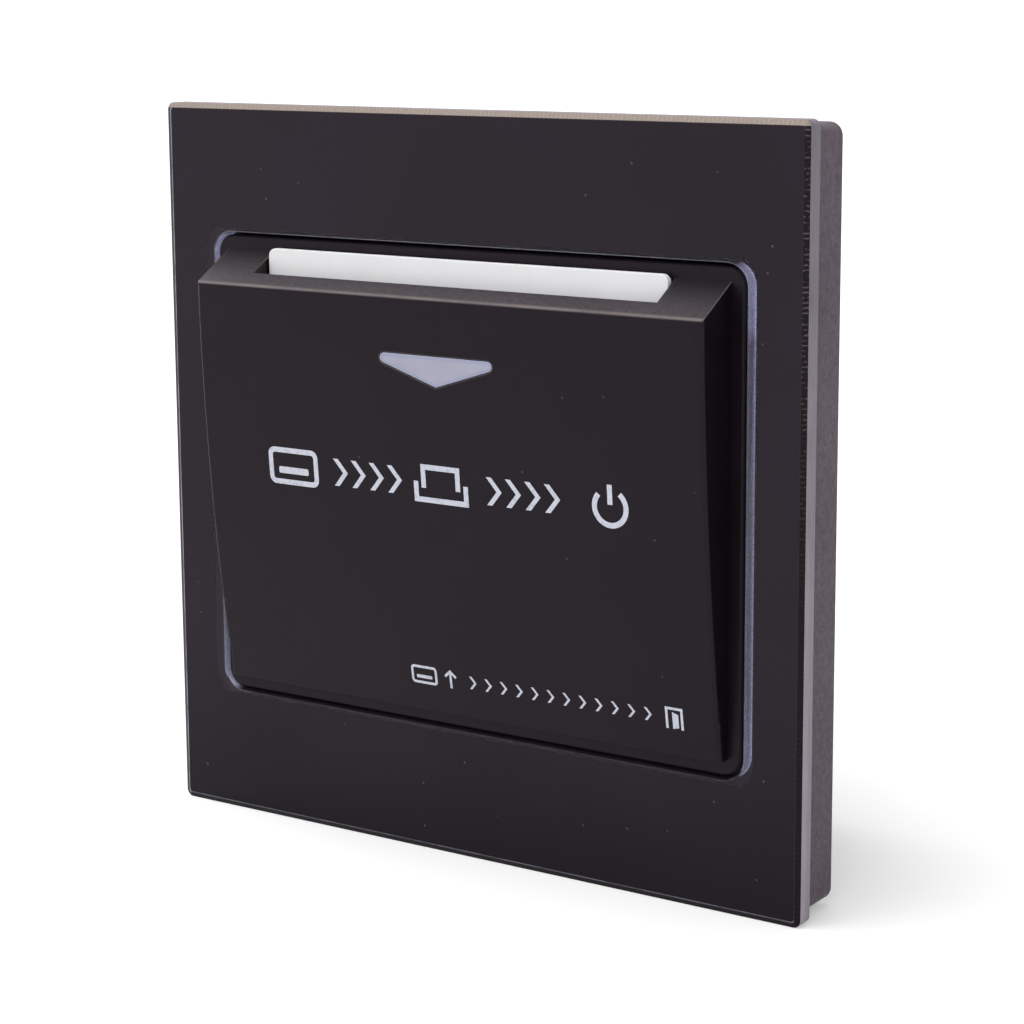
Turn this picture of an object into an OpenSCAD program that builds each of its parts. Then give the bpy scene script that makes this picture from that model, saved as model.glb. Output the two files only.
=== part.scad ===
// Hotel key card switch for a square wall box.
// X points right, Z points up, the front faces -Y and the wall plane is y = 0.

/* [Glass panel] */
// Side of the square glass panel
panel_size = 86; // [82:0.5:90]
// Thickness of the glass
glass_t = 2.5; // [2.2:0.1:4]
// Corner radius of the glass outline
glass_corner_r = 0.9; // [0.9:0.1:3]
// Width of the ground bevel round the front edge
bevel_w = 0.6; // [0.2:0.05:0.85]
// Depth of the ground bevel
bevel_d = 0.3; // [0.1:0.05:0.8]
// Width of the window in the glass
window_w = 72; // [71:0.25:74]
// Height of the window in the glass
window_h = 56; // [55:0.25:60]
// Corner radius of the window
window_r = 2.6; // [1.5:0.1:4]
// Thickness of the bonding sheet behind the glass
sheet_t = 0.2; // [0.1:0.05:0.6]
// How far the bonding sheet stays back from the edges of the glass
sheet_inset = 0.5; // [0.3:0.1:2]

/* [Frame] */
// How far the frame's outline lies inside the glass
frame_inset = 0.6; // [0.3:0.1:1.5]
// Depth of the frame from the wall to the bonding sheet
frame_depth = 6; // [5.5:0.25:8]
// Corner radius of the frame's outline
frame_corner_r = 1.5; // [1:0.1:2.5]
// Thickness of the frame's side walls
frame_wall = 2; // [1.5:0.1:2.5]
// Thickness of the frame's front plate
frame_plate_t = 1.8; // [1.4:0.1:2.2]
// Width of the ledge that carries the pocket's flange
ledge_w = 2.15; // [1.8:0.05:2.4]
// Height of the stiffening ribs behind the front plate
frame_rib_h = 1.4; // [0.8:0.1:1.6]
// Width of the prying notch in the lower edge
notch_w = 12; // [8:1:16]

/* [Card pocket] */
// Gap between the pocket's flange and the glass window
flange_gap = 0.35; // [0.2:0.05:0.6]
// How far the flange lies behind the front of the glass
flange_recess = 0.2; // [0.1:0.05:1]
// Thickness of the flange
flange_t = 1.6; // [1.2:0.1:1.8]
// Width of the flange beside the pocket
side_margin = 1.65; // [1.2:0.05:2]
// Width of the flange above the pocket
top_margin = 1.65; // [1.2:0.05:2]
// Width of the flange below the pocket
bottom_margin = 1.95; // [1.5:0.05:2.4]
// Reach of the pocket in front of its flange at the top of its face
reach_top = 6.05; // [5.8:0.05:8]
// Reach of the pocket in front of its flange at the bottom of its face
reach_bottom = 1.4; // [1.2:0.05:3]
// Fall of the sloping top from the flange to the face
top_drop = 3.5; // [2.5:0.1:4.5]
// Bow of the face over the straight line from its top to its bottom
face_bow = 0.9; // [0.6:0.1:1.6]
// Wall of the pocket
pocket_wall = 1.4; // [1.2:0.05:1.4]
// Rounding of the face's outer edges
edge_r = 0.5; // [0.2:0.1:0.9]
// Depth of the lip in front of the card slot
lip_depth = 2.3; // [1.9:0.1:2.6]
// Thickness of the ribs beside the card
channel_rib_t = 1.4; // [1:0.1:2]
// Width of the snap hooks that hold the pocket in the frame
hook_w = 7; // [5:0.5:10]
// Thickness of the snap hooks
hook_t = 1; // [0.8:0.05:1.1]
// Overlap of a hook's nose behind the frame
hook_nose = 0.9; // [0.5:0.1:1.2]
// Length of the hook's nose behind the frame, mm
hook_len = 1.2; // [0.9:0.1:1.6]

/* [Arrow lens] */
// Width of the arrow between its rounded ends
arrow_w = 15.2; // [10:0.2:20]
// Height of the arrow from its top edge to its tip
arrow_h = 3.5; // [2.6:0.1:6]
// Rounding of the arrow's two upper ends
arrow_end_r = 0.6; // [0.3:0.1:1]
// Height of the arrow's top edge above the middle of the panel
arrow_top_z = 16.25; // [12:0.05:17]
// Width of the seat round the back of the lens
lens_seat_w = 0.8; // [0.5:0.1:1.5]
// Thickness of the seat round the back of the lens
lens_seat_t = 0.9; // [0.5:0.1:1.2]

/* [Card] */
// Width of the card
card_w = 53.98; // [50:0.1:55]
// Length of the short card
card_len = 43.5; // [40:0.5:86]
// Thickness of the card
card_t = 0.76; // [0.5:0.02:0.9]
// Corner radius of the card
card_corner_r = 0.9; // [0.8:0.1:3.2]
// Height of the card's lower edge above the pocket's lower edge
card_floor = 8.65; // [8.4:0.05:9]
// Clearance on each side of the card
card_side_gap = 0.2; // [0.1:0.05:0.5]
// Clearance between the card and the wall behind it
card_back_gap = 0.15; // [0.1:0.05:0.2]

/* [Card springs] */
// Width of a leaf spring
leaf_w = 8; // [5:0.5:10]
// Thickness of a leaf spring
leaf_t = 0.3; // [0.2:0.05:0.4]
// Height of a leaf spring's span
leaf_span = 17; // [12:0.5:19]
// Height of the leaf spring's upper end above the arrow, mm
leaf_rise = 3; // [2:0.1:3.2]
// Distance of each leaf spring from the middle
leaf_x = 18; // [14:0.5:20]
// Gap between a leaf spring and the card
leaf_gap = 0.15; // [0.1:0.05:0.3]

/* [Card guide] */
// How far the guide's wall stands in front of the glass
guide_proud = 0.05; // [0:0.01:0.1]
// Thickness of the guide's walls
guide_wall = 1.4; // [1.1:0.1:1.6]
// Outer diameter of the guide's four legs
leg_d = 7; // [6.6:0.1:7.4]
// Distance of the legs from the middle
leg_x = 26.4; // [26:0.1:27.5]
// Height of the upper pair of legs
leg_upper_z = 19; // [15:0.5:19.5]
// Height of the lower pair of legs
leg_lower_z = -11; // [-12:0.5:-10]
// Clear height of the openings in front of the fixing screws
access_h = 11; // [10:0.5:12]

/* [Base] */
// Spacing of the two fixing holes of the wall box
fixing_spacing = 60.3; // [59:0.1:62]
// Diameter of the fixing holes
fixing_d = 4.4; // [4:0.1:5]
// Thickness of the base plate
base_plate_t = 2; // [1.6:0.1:2.4]
// Gap between the base plate and the frame's walls
base_gap = 1.9; // [1.6:0.1:3]
// Width of the rear box
box_w = 50.6; // [49:0.2:51]
// Height of the rear box
box_h = 56; // [54.5:0.5:60]
// Depth of the rear box behind the wall plane
box_depth = 26.5; // [26:0.5:32]
// Wall of the rear box
box_wall = 1.8; // [1.4:0.1:2]
// Distance of the frame's latches from the middle
latch_x = 20; // [14:1:28]
// Width of a latch
latch_w = 8; // [5:0.5:10]
// Thickness of a latch
latch_t = 1.4; // [1:0.1:1.6]
// Bite of a latch over the frame's catch
latch_bite = 0.7; // [0.4:0.1:1]

/* [Lever] */
// Diameter of the pivot pin
pin_d = 2; // [1.6:0.1:2.4]
// Distance of the pivot in front of the wall plane
pivot_y = -2.5; // [-3:0.1:-2]
// Fall of the pivot below the card's lower edge
pivot_drop = 3; // [2.7:0.1:3.4]
// Width of the lever
lever_w = 27.2; // [24:0.2:28]
// Thickness of the lever's arms
lever_t = 1.6; // [1.2:0.1:1.8]
// Length of the rear arm behind the pivot
rear_arm = 8.3; // [7.8:0.1:8.8]
// Swing of the lever in degrees
lever_swing = 10; // [6:0.5:10]
// Wire diameter of the return spring
coil_wire_d = 0.5; // [0.3:0.05:0.6]
// Outer diameter of the return spring
coil_d = 4.4; // [3.6:0.1:5]
// Turns of the return spring
coil_turns = 6; // [4:1:7]
// Length of the return spring with the card in place
coil_len = 8; // [7:0.1:8.6]

/* [Snap switch] */
// Length of the switch case
switch_w = 19.8; // [19:0.1:21]
// Height of the switch case
switch_h = 10.2; // [9.6:0.1:10.6]
// Thickness of the switch case
switch_t = 6.4; // [6:0.1:6.8]
// Spacing of the switch's two mounting holes
switch_hole_spacing = 9.5; // [9:0.1:10.5]
// Diameter of the switch's mounting holes
switch_hole_d = 2.35; // [2:0.05:2.6]
// Sideways place of the switch's middle
switch_x = 5.9; // [5:0.1:7]
// Sideways place of the plunger from the switch's middle
plunger_offset = -3; // [-5:0.5:3]
// Length of plunger that shows while it is pressed
plunger_show = 0.6; // [0.4:0.1:1]

/* [Board] */
// Thickness of the circuit board
board_t = 1.6; // [1:0.1:2]
// Gap between the board's edges and the rear box
board_gap = 0.9; // [0.4:0.1:1.5]
// Diameter of the board's pillars
pillar_d = 6; // [5:0.2:6.4]
// Diameter of the light pipe
pipe_d = 4; // [3:0.1:4.5]
// Diameter of the lamp
lamp_d = 3; // [2.5:0.1:3.2]
// Height of the lamp
lamp_h = 4.5; // [4:0.1:5]

/* [Terminals] */
// Number of terminals
poles = 4; // [2:1:4]
// Pitch of the terminals
pole_pitch = 7.5; // [7:0.1:7.6]
// Depth of the terminal block from its wire side
block_depth = 12; // [10:0.5:13]
// Width of a wire entry
entry_w = 3.6; // [3:0.1:3.8]
// Diameter of a clamp screw
clamp_screw_d = 3; // [2.5:0.1:3.2]

/* [Screws and fits] */
// Diameter of the small screws
screw_d = 2.2; // [1.8:0.1:2.4]
// Head diameter of the small screws
screw_head_d = 4.4; // [3.8:0.1:4.6]
// Head height of the small screws
screw_head_h = 1.6; // [1.2:0.1:1.8]
// Length of the small screws under the head
screw_len = 7; // [6:0.5:8]
// Gap left between faces that seat on each other
seat = 0.02; // [0.01:0.01:0.05]
// Radial clearance of pins and screws in their holes
pin_fit = 0.05; // [0.02:0.01:0.1]
// Clearance round pieces that slip into recesses
slip = 0.15; // [0.1:0.05:0.2]

/* [Hidden] */
$fn = 64;
// Facets of the pocket's large face radius
face_fn = 720;
// Overshoot of cuts past the faces they open
over = 1;
// Length by which joined bodies of one piece run into each other
fuse_depth = 0.3;

// Planes from the glass back to the wall
glass_front = -(frame_depth + sheet_t + glass_t);
glass_back = glass_front + glass_t;
frame_front = -frame_depth;
frame_plate_back = frame_front + frame_plate_t;
flange_front = glass_front + flange_recess;
flange_back = flange_front + flange_t;
base_front = -base_plate_t;

// Frame, window ledge and base plate outlines
frame_size = panel_size - 2 * frame_inset;
frame_inner = frame_size - 2 * frame_wall;
flange_w = window_w - 2 * flange_gap;
flange_h = window_h - 2 * flange_gap;
flange_r = window_r - flange_gap;
frame_window_w = flange_w - 2 * ledge_w;
frame_window_h = flange_h - 2 * ledge_w;
frame_window_r = 1.2;
base_size = frame_inner - 2 * base_gap;
base_corner_r = 3;

// Pocket outline in side view, as [y, z]
pocket_w = flange_w - 2 * side_margin;
pocket_top = flange_h / 2 - top_margin;
pocket_bottom = bottom_margin - flange_h / 2;
face_top = [flange_front - reach_top, pocket_top - top_drop];
face_bottom = [flange_front - reach_bottom, pocket_bottom];
slope = top_drop / reach_top;
face_r = arc_radius(norm(face_top - face_bottom), face_bow);
face_centre = arc_centre(face_bottom, face_top, face_bow);
inner_w = pocket_w - 2 * pocket_wall;
lip_y = face_top[0] + lip_depth;

// Card and its channel
slot_w = card_w + 2 * card_side_gap;
guide_front = glass_front - guide_proud;
card_back = guide_front - card_back_gap;
card_front = card_back - card_t;
card_bottom = pocket_bottom + card_floor;
card_seat_gap = 0.1;

// Guide outline
guide_half_w = leg_x + leg_d / 2;
guide_top = pocket_top - pocket_wall / cos(atan(slope)) - 0.5;
guide_bottom = pocket_bottom + pocket_wall + 0.6;
access_side = 5.15;
access_x = fixing_spacing / 2 - access_side;
leg_sites = [for (x = [-leg_x, leg_x], z = [leg_lower_z, leg_upper_z]) [x, z]];
leg_floor_t = 1.6;

// Lever
pivot_z = card_bottom - pivot_drop;
hub_wall = 1.5;
hub_d = pin_d + 2 * hub_wall;
thrust_step = 0.5;
coil_inset = 2.4;
pad_z = card_bottom - card_seat_gap;
pad_front = card_front + slip;
pad_back = guide_front + fuse_depth;
arm_top = pivot_z + 0.9;
ear_t = 2;
ear_x = lever_w / 2 + 0.4;
lever_window_top = pad_z + (pivot_y - pad_front) * sin(lever_swing) + 2 * slip;
coil_x = coil_d / 2 + coil_inset - lever_w / 2;
coil_arm = 5.7;
coil_y = pivot_y + coil_arm;
coil_bottom = arm_top + card_seat_gap;
coil_top = coil_bottom + coil_len;
shelf_w = coil_d + 2.6;

// Snap switch
plunger_tip = arm_top + card_seat_gap;
switch_bottom = plunger_tip + plunger_show;
switch_front = 0.6;
switch_back = switch_front + switch_t;
switch_mid_y = switch_front + switch_t / 2;
switch_hole_z = switch_bottom + switch_h / 2 + 0.2;
switch_pin_d = switch_hole_d - 2 * pin_fit;
plunger_x = switch_x + plunger_offset;
plunger_size = [1.8, 2.8];
plunger_depth = 2.2;
lug_w = 2.8;
lug_t = 0.5;
lug_rise = 2;
lug_z = switch_bottom + switch_h + lug_rise;

// Rear box and board
box_inner_w = box_w - 2 * box_wall;
box_inner_h = box_h - 2 * box_wall;
box_floor = box_depth - box_wall;
board_w = box_inner_w - 2 * board_gap;
board_h = box_inner_h - 2 * board_gap;
board_front = switch_back + 2 * seat;
board_back = board_front + board_t;
pillar_inset = pillar_d / 2 + 0.1;
pillar_x = board_w / 2 - pillar_inset;
pillar_z = board_h / 2 - pillar_inset;
pillar_sites = [for (x = [-pillar_x, pillar_x], z = [-pillar_z, pillar_z]) [x, z]];
boss_d = 6;
boss_len = screw_len + 1;

// Light path behind the arrow
lamp_z = arrow_top_z - arrow_h / 2;
pipe_front = guide_front + slip;
pipe_back = board_front - lamp_h - 0.3;
tube_back = pipe_back - 1;
tube_d = pipe_d + 2.4;

// Places of the board's parts from its middle, and their sizes over the board
relay_place = [-11.5, 4];
relay_size = [19, 15.5];
relay_clear = 0.74;
relay_h = box_floor - board_back - seat - relay_clear;
film_place = [10.5, 14];
film_size = [18, 7, 13];
can_place = [6.5, 4];
can_size = [8, 13];
disc_place = [16.5, 4];
disc_size = [9, 4];
fuse_place = [16, -10.2];
fuse_size = [8.5, 4, 8];
bridge_place = [2, -10.3];
bridge_size = [6.4, 3.8, 2.6];
chip_place = [-11, -9];
chip_size = [9.6, 5.4, 3];
resistor_places = [[-8, 16], [-8, 21]];
resistor_size = [9, 3.2];
lead_d = 0.7;
case_r = 0.6;

// Terminals
block_w = poles * pole_pitch + 0.6;
block_lower = -board_h / 2;
block_upper = block_lower + block_depth;
block_back = box_floor - 0.3;
pole_xs = [for (i = [0 : poles - 1]) (i - (poles - 1) / 2) * pole_pitch];
clamp_wall = 0.9;
clamp_floor = 0.8;
clamp_roof = 2.6;
clamp_lift = 2.4;
block_wall = 1;
clamp_w = entry_w + 2 * clamp_wall;
clamp_z = block_lower + block_wall + clamp_w / 2;
clamp_low = board_back + clamp_lift;
clamp_high = clamp_low + clamp_floor + entry_w + clamp_roof;
entry_y = clamp_low + clamp_floor + entry_w / 2;
clamp_head_rim = 0.5;
clamp_head_d = clamp_screw_d + 2 * clamp_head_rim;
clamp_head_h = 2.2;
driver_hole_d = clamp_head_d + 4 * slip;

// Radius of an arc from its chord and bow
function arc_radius(chord, bow) = chord * chord / (8 * bow) + bow / 2;

// Centre of the arc from p up to q that bows towards -y
function arc_centre(p, q, bow) =
  let (u = (q - p) / norm(q - p))
  (p + q) / 2 + [u[1], -u[0]] * (arc_radius(norm(q - p), bow) - bow);

// Depth of the pocket's face at height z, moved inwards by inset
function face_y(z, inset = 0) =
  face_centre[0] - sqrt(pow(face_r - inset, 2) - pow(z - face_centre[1], 2));

// Height of the pocket's sloping top at depth y
function top_z(y) = pocket_top + (y - flange_front) * slope;

// Extrudes an outline drawn in X and Z from depth y0 to depth y1
module depth(y0, y1) {
  translate([0, y1, 0]) rotate([90, 0, 0]) linear_extrude(y1 - y0) children();
}

// Extrudes an outline drawn in Y and Z from x0 to x1
module across(x0, x1) {
  translate([x0, 0, 0]) rotate([90, 0, 90]) linear_extrude(x1 - x0) children();
}

// A cylinder along Y
module rod(d, y0, y1) {
  translate([0, y1, 0]) rotate([90, 0, 0]) cylinder(d = d, h = y1 - y0);
}

// Moves a piece to a place in X and Z
module at(x, z) {
  translate([x, 0, z]) children();
}

// Stands a piece on the back of the board, its own Z along +Y
module on_board(place) {
  translate([place[0], board_back + seat, place[1]]) rotate([-90, 0, 0]) children();
}

module rounded(w, h, r) {
  square([w - 2 * r, h], center = true);
  square([w, h - 2 * r], center = true);
  for (x = [r - w / 2, w / 2 - r], z = [r - h / 2, h / 2 - r]) translate([x, z]) circle(r);
}

// A plate with rounded corners and a bevel round its front edge
module bevelled_plate(w, h, r, front, back, bw, bd) {
  rim = front + bd;
  depth(rim, back) rounded(w, h, r);
  across(r - w / 2, w / 2 - r)
    polygon([[front, bw - h / 2], [front, h / 2 - bw], [rim, h / 2], [rim, -h / 2]]);
  translate([0, 0, r - h / 2]) linear_extrude(h - 2 * r)
    polygon([[bw - w / 2, front], [w / 2 - bw, front], [w / 2, rim], [-w / 2, rim]]);
  for (x = [r - w / 2, w / 2 - r], z = [r - h / 2, h / 2 - r])
    translate([x, rim, z]) rotate([90, 0, 0]) cylinder(r1 = r, r2 = r - bw, h = bd);
}

// A screw along Y, its head towards -Y and its seat at y
module pan_screw(y) {
  difference() {
    union() {
      rod(screw_head_d, y - screw_head_h, y);
      rod(screw_d, y - fuse_depth, y + screw_len);
    }
    for (turn = [0, 90]) translate([0, y - screw_head_h, 0]) rotate([0, turn, 0])
      cube([screw_head_d * 0.6, screw_head_h, screw_d / 3], center = true);
  }
}

module glass_panel() {
  color([0.2, 0.18, 0.21]) difference() {
    bevelled_plate(panel_size, panel_size, glass_corner_r, glass_front, glass_back, bevel_w, bevel_d);
    depth(glass_front - over, glass_back + over) rounded(window_w, window_h, window_r);
  }
}

module adhesive_sheet() {
  sheet_size = panel_size - 2 * sheet_inset;
  color([0.05, 0.05, 0.05]) depth(glass_back + seat, frame_front - seat) difference() {
    rounded(sheet_size, sheet_size, glass_corner_r);
    rounded(window_w + sheet_inset, window_h + sheet_inset, window_r);
  }
}

// Catch that a latch of the base bites behind, on the frame's upper or lower wall
module frame_catch(x, side) {
  catch_reach = base_gap - 0.5 + latch_bite - fuse_depth;
  catch_z = frame_inner / 2 - catch_reach / 2 + fuse_depth / 2;
  translate([x, base_front + 0.3, side * catch_z])
    cube([latch_w + 2, 1, catch_reach + fuse_depth], center = true);
}

module panel_frame() {
  rib_gap = 3;
  rib_t = 1.2;
  notch_depth = 1.5;
  inner_r = max(frame_corner_r - frame_wall, 0.5);
  color([0.3, 0.27, 0.3]) difference() {
    union() {
      difference() {
        depth(frame_front, 0) rounded(frame_size, frame_size, frame_corner_r);
        depth(frame_plate_back, over) rounded(frame_inner, frame_inner, inner_r);
      }
      depth(frame_plate_back - fuse_depth, frame_plate_back + frame_rib_h) difference() {
        rounded(frame_window_w + 2 * (rib_gap + rib_t), frame_window_h + 2 * (rib_gap + rib_t), 2);
        rounded(frame_window_w + 2 * rib_gap, frame_window_h + 2 * rib_gap, 1);
      }
      for (x = [-latch_x, latch_x], side = [-1, 1]) frame_catch(x, side);
    }
    depth(frame_front - over, over) rounded(frame_window_w, frame_window_h, frame_window_r);
    translate([0, 0, -frame_size / 2]) cube([notch_w, 2 * notch_depth, 2.4 * frame_wall], center = true);
  }
}

// Side outline of the pocket, moved inwards by inset and run back to depth back_y
module pocket_profile(inset, back_y) {
  fall = inset / cos(atan(slope));
  front_y = min(face_top[0], face_centre[0] - face_r) - over;
  intersection() {
    translate(face_centre) circle(face_r - inset, $fn = face_fn);
    polygon([
      [back_y, pocket_bottom + inset],
      [front_y, pocket_bottom + inset],
      [front_y, top_z(front_y) - fall],
      [flange_front, pocket_top - fall],
      [back_y, pocket_top - fall]
    ]);
  }
}

// Corner that the rounding of the face's top edge takes off, in side view
module top_edge_corner() {
  up = [cos(atan(slope)), sin(atan(slope))];
  out = (face_top - face_centre) / face_r;
  down = [-out[1], out[0]];
  middle = (up + down) / norm(up + down);
  half_angle = acos(up * middle);
  reach = edge_r / tan(half_angle);
  centre = face_top + middle * edge_r / sin(half_angle);
  difference() {
    polygon([face_top + up * reach, face_top - middle * edge_r, face_top + down * reach, centre]);
    translate(centre) circle(edge_r);
  }
}

// Ring that rounds one upright edge of the bowed face
module side_edge_ring(side) {
  translate([0, face_centre[0], face_centre[1]]) rotate([0, 90, 0])
    rotate_extrude($fn = face_fn) difference() {
      translate([face_r - edge_r, side > 0 ? pocket_w / 2 - edge_r : -pocket_w / 2 - edge_r])
        square(2 * edge_r);
      translate([face_r - edge_r, side * (pocket_w / 2 - edge_r)]) circle(edge_r);
    }
}

module arrow_outline(grow = 0) {
  end_x = arrow_w / 2 - arrow_end_r;
  end_z = arrow_top_z - arrow_end_r;
  r = arrow_end_r + grow;
  fall = end_z - (arrow_top_z - arrow_h);
  lean = atan2(fall, end_x) - asin(arrow_end_r / norm([end_x, fall]));
  arc_steps = 8;
  right_end = [
    for (i = [0 : arc_steps])
      let (a = lean - 90 + (180 - lean) * i / arc_steps)
      [end_x + r * cos(a), end_z + r * sin(a)]
  ];
  left_end = [for (i = [arc_steps : -1 : 0]) [-right_end[i][0], right_end[i][1]]];
  tip_z = right_end[0][1] - right_end[0][0] * tan(lean);
  polygon(concat(right_end, left_end, [[0, tip_z]]));
}

// Shell between two depths behind the bowed face, z0 to z1
module face_shell(inset0, inset1, z0, z1) {
  intersection() {
    difference() {
      translate(face_centre) circle(face_r - inset0, $fn = face_fn);
      translate(face_centre) circle(face_r - inset1, $fn = face_fn);
    }
    translate([face_top[0] - over, z0]) square([reach_top + 2 * over, z1 - z0]);
  }
}

// Leaf spring ends on the inside of the face, as [y, z]
leaf_low_z = arrow_top_z + leaf_rise - leaf_span;
leaf_high_z = leaf_low_z + leaf_span;
leaf_low = [face_y(leaf_low_z, pocket_wall) + 0.1, leaf_low_z];
leaf_high = [face_y(leaf_high_z, pocket_wall) + 0.1, leaf_high_z];

// Tray of low walls that keeps a leaf spring in place
module leaf_tray() {
  tray_wall = 1;
  tray_h = 1;
  difference() {
    across(-leaf_w / 2 - slip - tray_wall, leaf_w / 2 + slip + tray_wall)
      face_shell(pocket_wall - fuse_depth, pocket_wall + tray_h,
        leaf_low_z - slip - tray_wall, leaf_high_z + slip + tray_wall);
    across(-leaf_w / 2 - slip, leaf_w / 2 + slip)
      face_shell(pocket_wall, pocket_wall + tray_h + over, leaf_low_z - slip, leaf_high_z + slip);
  }
}

// Snap hook behind the flange, at the upper or lower edge of the frame's window
module pocket_hook(x, side) {
  z0 = frame_window_h / 2 - 0.2;
  nose_front = frame_plate_back + 0.1;
  translate([x, 0, 0]) mirror([0, 0, side < 0 ? 1 : 0]) across(-hook_w / 2, hook_w / 2)
    polygon([
      [flange_back - fuse_depth, z0 - hook_t],
      [flange_back - fuse_depth, z0],
      [nose_front, z0],
      [nose_front, z0 + hook_nose],
      [nose_front + hook_len / 3, z0 + hook_nose],
      [nose_front + hook_len, z0 - 0.1],
      [nose_front + hook_len, z0 - hook_t]
    ]);
}

module pocket_cover() {
  rim_w = pocket_wall;
  color([0.16, 0.14, 0.16]) difference() {
    union() {
      difference() {
        union() {
          bevelled_plate(flange_w, flange_h, flange_r, flange_front, flange_back, 0.3, 0.3);
          across(-pocket_w / 2, pocket_w / 2) difference() {
            pocket_profile(0, flange_back);
            top_edge_corner();
          }
        }
        across(-inner_w / 2, inner_w / 2) pocket_profile(pocket_wall, over);
        for (side = [-1, 1]) side_edge_ring(side);
      }
      depth(flange_back - fuse_depth, frame_front - seat) difference() {
        rounded(flange_w, flange_h, flange_r);
        rounded(flange_w - 2 * rim_w, flange_h - 2 * rim_w, flange_r - rim_w / 2);
      }
      for (x = [-latch_x, latch_x], side = [-1, 1]) pocket_hook(x, side);
      for (side = [-1, 1]) mirror([side < 0 ? 1 : 0, 0, 0])
        across(slot_w / 2, slot_w / 2 + channel_rib_t) intersection() {
          pocket_profile(pocket_wall - fuse_depth, over);
          translate([face_top[0], card_bottom])
            square([guide_front - slip - face_top[0], pocket_top - card_bottom]);
        }
      for (x = [-leaf_x, leaf_x]) translate([x, 0, 0]) leaf_tray();
    }
    translate([-slot_w / 2, lip_y, leaf_high_z + leaf_rise * 2 / 3]) cube([slot_w, flange_front - lip_y, pocket_top]);
    depth(face_top[0] - over, face_top[0] + reach_top / 2) arrow_outline(slip / 2);
  }
}

module arrow_lens() {
  half = arrow_w / 2 + lens_seat_w + over;
  lens_back = face_y(lamp_z, pocket_wall) + lens_seat_t;
  color([0.75, 0.76, 0.84]) for (step = [[0, 0], [lens_seat_w, pocket_wall + seat]])
    intersection() {
      depth(face_top[0] - over, lens_back) arrow_outline(step[0]);
      across(-half, half) pocket_profile(step[1], lens_back);
    }
}

module card_springs() {
  apex_y = card_front - leaf_gap - leaf_t;
  bow = apex_y - (leaf_low[0] + leaf_high[0]) / 2;
  r = arc_radius(norm(leaf_high - leaf_low), bow);
  centre = arc_centre(leaf_high, leaf_low, bow);
  color([0.72, 0.74, 0.76]) for (x = [-leaf_x, leaf_x])
    across(x - leaf_w / 2, x + leaf_w / 2) intersection() {
      difference() {
        translate(centre) circle(r + leaf_t, $fn = 240);
        translate(centre) circle(r, $fn = 240);
      }
      translate([face_top[0], leaf_low_z]) square([reach_top, leaf_span]);
    }
}

module key_card() {
  color([0.97, 0.97, 0.98]) at(0, card_bottom + card_len / 2)
    depth(card_front, card_back) rounded(card_w, card_len, card_corner_r);
}

// Guide outline in front view: a plate with an opening in each side for the fixing screws
module guide_outline(inset) {
  half = guide_half_w - inset;
  low = guide_bottom + inset;
  high = guide_top - inset;
  difference() {
    translate([-half, low]) square([2 * half, high - low]);
    for (side = [-1, 1]) translate([side * (access_x - inset + half), 0])
      square([2 * half, access_h + 2 * inset], center = true);
  }
}

// Ear beside the lever that holds the pivot pin
module lever_ear() {
  ear_r = hub_d / 2 + 0.1;
  translate([pivot_y, pivot_z]) circle(ear_r);
  translate([guide_front + fuse_depth, pivot_z - ear_r])
    square([pivot_y - guide_front - fuse_depth, 2 * ear_r]);
}

// Shelf over the lever's rear arm that the return spring pushes against
module spring_shelf() {
  back_y = coil_y + coil_d / 2 + 0.4;
  shelf_t = 1.6;
  web_t = 1.2;
  web_rise = 7;
  translate([coil_x - shelf_w / 2, guide_front + fuse_depth, coil_top + seat])
    cube([shelf_w, back_y - guide_front - fuse_depth, shelf_t]);
  for (x = [coil_x - shelf_w / 2, coil_x + shelf_w / 2 - web_t]) across(x, x + web_t)
    polygon([
      [guide_front + fuse_depth, coil_top + shelf_t],
      [back_y - over, coil_top + shelf_t],
      [guide_front + guide_wall, coil_top + shelf_t + web_rise],
      [guide_front + fuse_depth, coil_top + shelf_t + web_rise]
    ]);
}

module card_guide() {
  back = base_front - seat;
  wall_back = guide_front + guide_wall;
  stop_t = 1.5;
  stop_x0 = ear_x;
  stop_x1 = card_w / 2 - card_corner_r;
  hole_x = switch_hole_spacing / 2;
  color([0.2, 0.2, 0.22]) difference() {
    union() {
      difference() {
        union() {
          depth(guide_front, wall_back) guide_outline(0);
          depth(guide_front, back) difference() {
            guide_outline(0);
            guide_outline(guide_wall);
          }
        }
        translate([-ear_x, guide_front - over, guide_bottom - over])
          cube([2 * ear_x, back - guide_front + 2 * over, lever_window_top - guide_bottom + over]);
      }
      for (s = leg_sites) at(s[0], s[1]) rod(leg_d, guide_front + fuse_depth, back);
      for (side = [-1, 1]) mirror([side < 0 ? 1 : 0, 0, 0]) {
        across(ear_x, ear_x + ear_t) lever_ear();
        translate([stop_x0, card_front + slip, pad_z - stop_t])
          cube([stop_x1 - stop_x0, guide_front + fuse_depth - card_front - slip, stop_t]);
      }
      for (x = [switch_x - hole_x, switch_x + hole_x]) at(x, switch_hole_z) {
        rod(switch_hole_d + 2.2, guide_front + fuse_depth, switch_front - seat);
        rod(switch_pin_d, switch_front - over, switch_back - 0.3);
      }
      at(0, lamp_z) rod(tube_d, guide_front + fuse_depth, tube_back);
      spring_shelf();
    }
    for (s = leg_sites) at(s[0], s[1]) {
      rod(screw_head_d + 1, guide_front - over, back - leg_floor_t);
      rod(screw_d + 2 * pin_fit, back - leg_floor_t - over, back + over);
    }
    at(0, lamp_z) rod(pipe_d + 2 * pin_fit, guide_front - over, tube_back + over);
    translate([-ear_x - ear_t - over, pivot_y, pivot_z]) rotate([0, 90, 0])
      cylinder(d = pin_d + pin_fit, h = 2 * (ear_x + ear_t + over));
  }
}

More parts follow.
